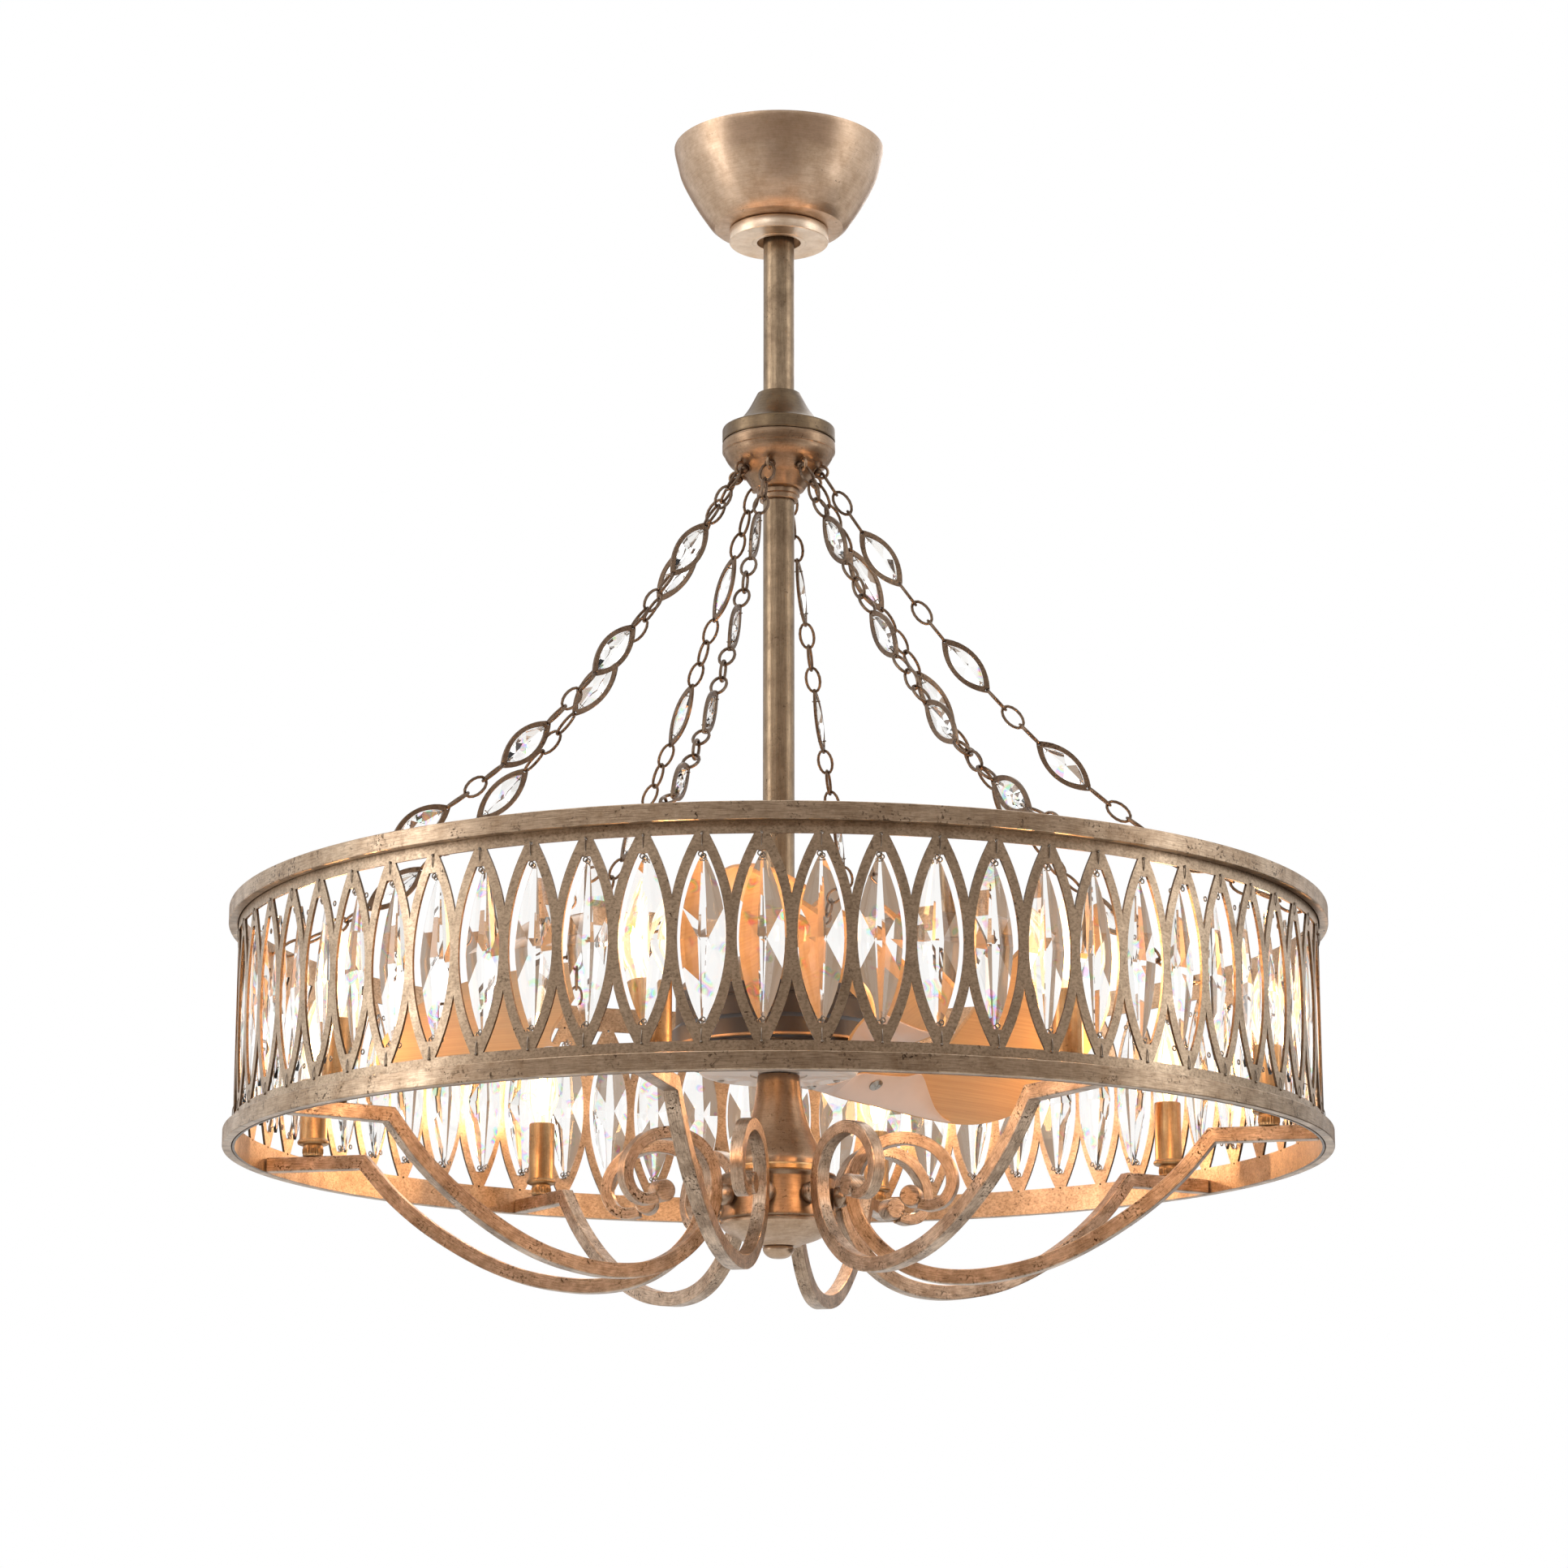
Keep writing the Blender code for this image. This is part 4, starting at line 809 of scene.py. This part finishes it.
def paddle(rim, lift=0, cuts=20):
    """A flat sheet whose neck twists level to meet the rotor, with its grain laid out in its UV map."""
    bm = bmesh.new()
    outline = [(blade_reach * p.x, blade_half_width * p.y, 0) for p in smooth_line(rim, 3)]
    bm.faces.new([bm.verts.new(p) for p in outline])
    for i in range(cuts + 1):
        cut = twist_start + (twist_end - twist_start) * i / cuts
        sliced(bm, (cut, 0, 0), (1, 0, 0), trimmed=False)
    bmesh.ops.triangulate(bm, faces=bm.faces)
    grain = bm.loops.layers.uv.new("grain")
    for face in bm.faces:
        for loop in face.loops:
            loop[grain].uv = loop.vert.co.xy
    for vert in bm.verts:
        along = min(max((vert.co.x - twist_start) / (twist_end - twist_start), 0), 1)
        turn = blade_pitch * along * along * (3 - 2 * along)
        across = vert.co.y - twist_line
        vert.co.y = twist_y + across * cos(turn) + lift * sin(turn)
        vert.co.z = lift * cos(turn) - tab_drop - across * sin(turn)
    return template(outward(bm))


twist_y = twist_line * cos(blade_pitch)
rotor_low = level("rotor")[0]
arm_sheet = 0.001
arm_lift = blade_thickness / 2 + arm_sheet / 2
paddle_mesh = paddle(blade_rim)
under_mesh = paddle(arm_rim, -arm_lift)
# The upper sheet stops short of the rotor
over_mesh = paddle([(x, y) for x, y in arm_rim if x > twist_start / blade_reach + 0.02], arm_lift)

# One screw holds the board to the under sheet, and three hold the arm up to the rotor
screw_sink = 0.0002
pitched = at(0.426 * blade_reach, twist_y, -tab_drop) @ about("X", -blade_pitch)
across = 0.518 * blade_half_width - twist_line + 0.01
board_screw = pitched @ at(0, across, screw_sink - arm_lift - arm_sheet / 2)
tab_y = twist_y + 0.0725 - twist_line
tab_low = rotor_gap - 2 * tab_drop - arm_sheet
tab_spots = [(0.074, tab_y - 0.008), (0.074, tab_y + 0.008), (0.083, tab_y)]
tab_screws = [at(x, y, tab_low) for x, y in tab_spots]
blade_screws = bmesh.new()
for i in range(3):
    place = at(0, 0, rotor_low) @ about("Z", turn_to(first_blade + 120 * i))
    board = copies(bmesh.new(), paddle_mesh, [place])
    sheets = copies(copies(bmesh.new(), under_mesh, [place]), over_mesh, [place])
    blade = piece(
        f"wood_blade_{i + 1}", board, wood_finish, f"blade_{i + 1}", body="rotor",
        slot="wood_veneer", smooth=30,
    )
    holder = piece(f"blade_arm_{i + 1}", sheets, holder_finish, body="rotor", smooth=30)
    for made, thickness, edge in ((blade, blade_thickness, 0.0007), (holder, arm_sheet, 0.0002)):
        solid = made.modifiers.new("board", "SOLIDIFY")
        solid.thickness = thickness
        solid.offset = 0
        soft = made.modifiers.new("sanded_edge", "BEVEL")
        soft.width = edge
        soft.segments = 2
        soft.limit_method = "ANGLE"
        soft.angle_limit = radians(50)
    copies(blade_screws, screw_head(0.0062, 0.0032), [place @ board_screw])
    copies(blade_screws, screw_head(0.0042, 0.0026), [place @ screw for screw in tab_screws])
piece("blade_screws", blade_screws, zinc_finish, body="rotor", slot="zinc_plated_steel")


# Centre line below the motor


# The threaded rod runs through the bores of all these pieces
bore = 0.0053
foot = foot_of("neck")
neck_side = [(0.0095, 0)]
neck_side += curve(
    [
        (0.0174, 0), (0.0186, -0.013), (0.0205, -0.025), (0.0232, -0.0355), (0.0268, -0.046),
        (0.0318, -0.057), (0.036, -0.065), (0.0392, -0.0715), (0.04, foot),
    ], 4
)
neck_side += [(bore, foot), (bore, -0.015)]
turned_piece("trumpet_neck", neck_side, hub_finish, "neck")

foot = foot_of("neck_ring")
collar_side = [
    (bore, 0), (0.0404, 0), (0.041, -0.0015), (0.041, foot + 0.0015), (0.0404, foot), (bore, foot),
]
turned_piece("brass_ring", collar_side, brass_finish, "neck_ring", slot="worn_brass")

foot = foot_of("scroll_hub")
hub_face = 0.0482
drum_side = [
    (bore, 0), (0.0472, 0), (hub_face, -0.0016), (0.0466, -0.0044), (0.0468, -0.03), (hub_face, -0.034),
    (hub_face, -0.0364), (0.0472, foot), (bore, foot),
]
turned_piece("scroll_drum", drum_side, hub_finish, "scroll_hub")

foot = foot_of("hub_cap")
cap_side = [(bore, 0), (0.0478, 0), (0.0488, -0.0012)]
cap_side += curve([(0.0484, -0.003), (0.044, -0.0078), (0.033, -0.014), (0.02, -0.0185)], 4)
cap_side += [(0.0172, foot), (bore, foot)]
turned_piece("bottom_cap", cap_side, spun_finish, "hub_cap")

socket = -0.0043
ball_side = [(0, socket), (bore, socket), (bore, 0)]
ball_side += curve(
    [(0.012, 0), (0.013, -0.0022), (0.0112, -0.006), (0.0068, -0.009), (0, foot_of("finial"))], 5
)
turned_piece("round_finial", ball_side, spun_finish, "finial", steps=64)


# Arms


bar_height, bar_width = 0.012, 0.0118
arm_end, arm_flat, flat_height = 0.4454, 0.4, 0.006
# Past this share of its length the bar thins towards its curl
taper_start, height_loss, width_loss = 0.62, 0.24, 0.1
arm_curve = [
    (0.36, flat_height), (0.335, -0.0225), (0.308, -0.046), (0.28, -0.065), (0.25, -0.0815),
    (0.22, -0.0935), (0.19, -0.1005), (0.16, -0.1035), (0.13, -0.101), (0.105, -0.092), (0.083, -0.0755),
    (0.0685, -0.0555), (0.0628, -0.033), (0.0662, -0.011), (0.08, 0.0052), (0.104, 0.0118), (0.127, 0.006),
    (0.142, -0.009), (0.1462, -0.026), (0.14, -0.0395), (0.129, -0.0442), (0.118, -0.0425),
]


def arm():
    """One square bar bent to its scroll, with its ball on the hub and the button at its end."""
    # Its middle line from the drum to its curl, in radius and height above the drum's edge
    line = [Vector((arm_end, flat_height)), Vector((arm_flat, flat_height))] + smooth_line(arm_curve, 6)
    last = len(line) - 1
    length = [0]
    for a, b in zip(line, line[1:]):
        length.append(length[-1] + (b - a).length)
    sections, normals = [], []
    for i, point in enumerate(line):
        before = (point - line[i - 1]).normalized() if i else Vector((0, 0))
        after = (line[i + 1] - point).normalized() if i < last else Vector((0, 0))
        along = (before + after).normalized()
        normal = Vector((along.y, -along.x))
        lean = normal.dot(Vector((after.y, -after.x))) if 0 < i < last else 1
        thin = max(0, length[i] / length[-1] - taper_start) / (1 - taper_start)
        rise = normal * (bar_height / 2 * (1 - height_loss * thin) / lean)
        wide = bar_width / 2 * (1 - width_loss * thin)
        corners = ((1, wide), (1, -wide), (-1, -wide), (-1, wide))
        sections.append([(point.x + rise.x * s, w, point.y + rise.y * s) for s, w in corners])
        normals.append(normal)
    bm = eased(outward(loft(bmesh.new(), sections)), 0.0007, least=1.2)
    button_side = [(0, 0.0073), (0.009, 0.0073), (0.009, -0.0073), (0, -0.0073)]
    button = template(turned(button_side, steps=32, edge=0.0011))
    copies(bm, button, [at(0.112, 0, -0.0362) @ about("X", pi / 2)])
    ball = bmesh.new()
    middle = at(hub_face + 0.0032, 0, -0.035)
    bmesh.ops.create_uvsphere(ball, u_segments=24, v_segments=16, radius=0.009, matrix=middle)
    sliced(ball, (hub_face, 0, 0), (-1, 0, 0))
    copies(bm, template(ball), [Matrix.Identity(4)])
    # The UV map runs along the bar and across it, a little in from its zero
    grain = bm.loops.layers.uv.new("grain")
    for vert in bm.verts:
        spot = Vector((vert.co.x, vert.co.z))
        near = min(range(last + 1), key=lambda k: (line[k] - spot).length_squared)
        away = spot - line[near]
        along = Vector((-normals[near].y, normals[near].x))
        across = away.dot(normals[near]) + vert.co.y + 0.1
        for loop in vert.link_loops:
            loop[grain].uv = (length[near] + away.dot(along), across)
    return template(bm, at(0, 0, drum_z))


arm_mesh = arm()
for i, place in enumerate(around(arm_turns)):
    bar = copies(bmesh.new(), arm_mesh, [place])
    piece(f"scroll_arm_{i + 1}", bar, arm_finish, f"arm_{i + 1}")


# Candles and bulbs


candle_low = level("candle_1")[0]
candle_reach, candle_steps = 0.406, 48


def knurled(bm, low, high, depth):
    """Every other upright line of verts between two heights drawn in, as a coarse knurl."""
    for vert in bm.verts:
        turn = atan2(vert.co.y, vert.co.x) / (2 * pi)
        if low < vert.co.z < high and round(turn * candle_steps) % 2:
            vert.co.xy *= 1 - depth
    return bm


# The knurled nut, the cup and the sleeve, with the lamp's socket sunk in its top
sleeve_side = [
    (0, 0), (0.0082, 0), (0.0086, 0.0006), (0.0086, 0.0022), (0.009, 0.003), (0.009, 0.0062),
    (0.0086, 0.007), (0.0086, 0.0092), (0.011, 0.0096), (0.0128, 0.0104), (0.0134, 0.0116),
    (0.0134, 0.0126), (0.0128, 0.0138), (0.0119, 0.0146), (0.0117, 0.016), (0.0117, 0.064),
    (0.0112, 0.0654), (0.0072, 0.0654), (0.0072, 0.0478), (0, 0.0478),
]
sleeve = knurled(turned(sleeve_side, steps=candle_steps), low=0.0015, high=0.0068, depth=0.1)
sleeve_mesh = template(sleeve, at(0, 0, candle_low))
bulb_low = candle_low + 0.0655
glass_wall, glass_tip = 0.0007, 0.0009
outside = [(0.0064, -0.016)]
outside += curve(
    [(0.0066, 0), (0.0098, 0.009), (0.014, 0.02), (0.0149, 0.027), (0.0133, 0.04), (0.0086, 0.054)], 5
)
outside += [(0.0046, 0.064), (0.0018, 0.07), (0, 0.072)]
inside = [(max(r - glass_wall, 0), z - (glass_tip if z > 0.06 else 0)) for r, z in reversed(outside)]
bulb_mesh = template(turned(outside + inside, steps=40), at(0, 0, bulb_low))
flame_side = [
    (0, 0.008), (0.0022, 0.009), (0.0048, 0.018), (0.0054, 0.027), (0.004, 0.038), (0.0014, 0.048),
    (0, 0.05),
]
flame_mesh = template(turned(flame_side, steps=20), at(0, 0, bulb_low))
lamp_places = [place @ at(candle_reach, 0, 0) for place in around(arm_turns)]
for i, place in enumerate(lamp_places):
    sleeve = copies(bmesh.new(), sleeve_mesh, [place])
    piece(f"candle_sleeve_{i + 1}", sleeve, sleeve_finish, f"candle_{i + 1}", slot="gold_bronze", smooth=30)
    glass = copies(bmesh.new(), bulb_mesh, [place])
    glass = piece(f"lamp_glass_{i + 1}", glass, bulb_finish, f"bulb_{i + 1}", slot="bulb_glass")
    glass.visible_shadow = False
flames = copies(bmesh.new(), flame_mesh, lamp_places)
filaments = piece("lamp_filaments", flames, glow_finish, slot="bulb_glass")
filaments.visible_shadow = False
# Clear stones throw no dark shadow: light that bends through cut glass would need many more samples
drum_stones.visible_shadow = chain_stones.visible_shadow = False

for name in (
    "hanger_bracket", "hanger_ball", "hanger_pin", "motor_stator", "upper_bearing",
    "lower_bearing", "threaded_rod",
):
    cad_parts[name].material_slots[0].material = zinc_finish


# Floor, light and camera


def stage_plane(name, size, place, material):
    """A flat rectangle that isn't part of the object."""
    bm = bmesh.new()
    grid_place = place @ Matrix.Diagonal((*size, 1, 1))
    bmesh.ops.create_grid(bm, x_segments=1, y_segments=1, size=0.5, matrix=grid_place)
    mesh = template(bm)
    mesh.materials.append(material)
    made = put(name, mesh)
    return made


# Matt pale floor. The camera sees it a little paler than it is lit, with the shadow still on it, and
# metal and glass see it white
floor_colour, floor_lift = rgb("#F2F1EF"), 0.36
floor_finish, tree, shader = new_finish("pale_floor", Base_Color=floor_colour, Roughness=0.9)
path = add(tree, "LightPath").outputs
seen = add(tree, "Math", {0: path["Is Glossy Ray"], 1: path["Is Transmission Ray"]}, operation="MAXIMUM")
white = add(tree, "Emission", {"Color": floor_colour, "Strength": 1})
lift = add(tree, "Math", {0: path["Is Camera Ray"], 1: floor_lift}, operation="MULTIPLY")
pale = add(tree, "Emission", {"Color": floor_colour, "Strength": lift})
lit = add(tree, "AddShader", {0: shader, 1: pale})
mixed = add(tree, "MixShader", {0: seen, 1: lit, 2: white})
fill(tree, tree.nodes["Material Output"], {0: mixed})
stage_plane("floor", (60, 60), at(0, 0, -1.6), floor_finish)


def card(name, azimuth, elevation, distance, size, colour, strength, height=-0.75, clear=False):
    """A glowing studio card that lights nothing: reflections see it, or where it is clear, the stones do."""
    finish, _, _ = new_finish(
        name, Base_Color=rgb("#000000"), Emission_Color=rgb(colour), Emission_Strength=strength
    )
    turn = about("Z", radians(azimuth)) @ about("X", radians(-elevation))
    place = at(0, 0, height) @ turn @ at(0, -distance, 0)
    made = stage_plane(name, size, place @ about("X", pi / 2), finish)
    made.visible_camera = made.visible_diffuse = made.visible_shadow = False
    made.visible_transmission = clear
    made.visible_glossy = not clear


for name, side in (("card_front", 3), ("card_front_left", -51), ("card_front_right", 57)):
    card(name, side, 0, 5, (4.9, 3.6), "#B39A86", 0.55)
card("card_low", 6, -35, 2.4, (1.9, 1.1), "#8C7868", 0.5, height=-0.05)
card("card_low_right", 106, -26, 1.2, (1.3, 1.2), "#5C4636", 0.3)
card("card_back_left", -158, 16, 5, (1.1, 4), "#8A6446", 0.6)
card("card_back_right", 156, 16, 5, (1.1, 4), "#7E5C42", 0.6)
card("strip_left", -74, 4, 2.8, (0.7, 2.4), "#FFFFFF", 4.2, height=-0.6)
card("strip_right", 78, 4, 2.8, (0.8, 2.4), "#FFFFFF", 2.3, height=-0.6)
for name, side in (("card_clear_left", -160), ("card_clear_right", 158)):
    card(name, side, 14, 5, (0.5, 4), "#AC937D", 0.85, clear=True)

# The camera, metal and glass see a white world, which lights the rest a little less and cooler
world = bpy.data.worlds.new("studio")
bpy.context.scene.world = world
world.use_nodes = True
tree = world.node_tree
tree.nodes.clear()
path = add(tree, "LightPath").outputs
seen = add(tree, "Math", {0: path["Is Camera Ray"], 1: path["Is Glossy Ray"]}, operation="MAXIMUM")
seen = add(tree, "Math", {0: seen, 1: path["Is Transmission Ray"]}, operation="MAXIMUM")
lit = add(tree, "Background", {"Color": rgb("#F4F6FA"), "Strength": 0.55})
white = add(tree, "Background", {"Color": rgb("#FFFFFF"), "Strength": 1})
sky = add(tree, "MixShader", {0: seen, 1: lit, 2: white})
add(tree, "OutputWorld", {0: sky})


def area_light(name, azimuth, elevation, distance, size, power):
    """A soft square light that looks at the drum."""
    data = bpy.data.lights.new(name, "AREA")
    data.shape = "SQUARE"
    data.size = size
    data.energy = power
    made = put(name, data)
    turn, lift = radians(azimuth), radians(elevation)
    back = Vector((sin(turn) * cos(lift), -cos(turn) * cos(lift), sin(lift)))
    made.location = Vector((0, 0, -0.6)) + back * distance
    made.rotation_euler = back.to_track_quat("Z", "Y").to_euler()


area_light("side_left", -74, 25, 3.2, 1.4, power=14)
area_light("side_right", 78, 25, 3.2, 1.4, power=9)
area_light("key", -35, 30, 3.4, 1.4, power=10)
area_light("back", 165, 35, 3.2, 1.6, power=12)

for i, place in enumerate(lamp_places):
    data = bpy.data.lights.new(f"lamp_{i + 1}", "POINT")
    data.energy = 0.85
    data.color = rgb("#FFC58E")[:3]
    data.shadow_soft_size = 0.006
    lamp = put(f"lamp_{i + 1}", data)
    lamp.location = place @ Vector((0, 0, bulb_low + 0.03))

data = bpy.data.cameras.new("camera")
data.sensor_width = 36
data.lens = 93.35
data.clip_end = 100
camera = put("camera", data)
camera.location = (0.0045, -3.3473, -1.3529)
camera.rotation_euler = (radians(90 + 13.149), 0, 0)
bpy.context.scene.camera = camera
bpy.context.scene.view_settings.view_transform = "Standard"

bpy.context.view_layer.update()
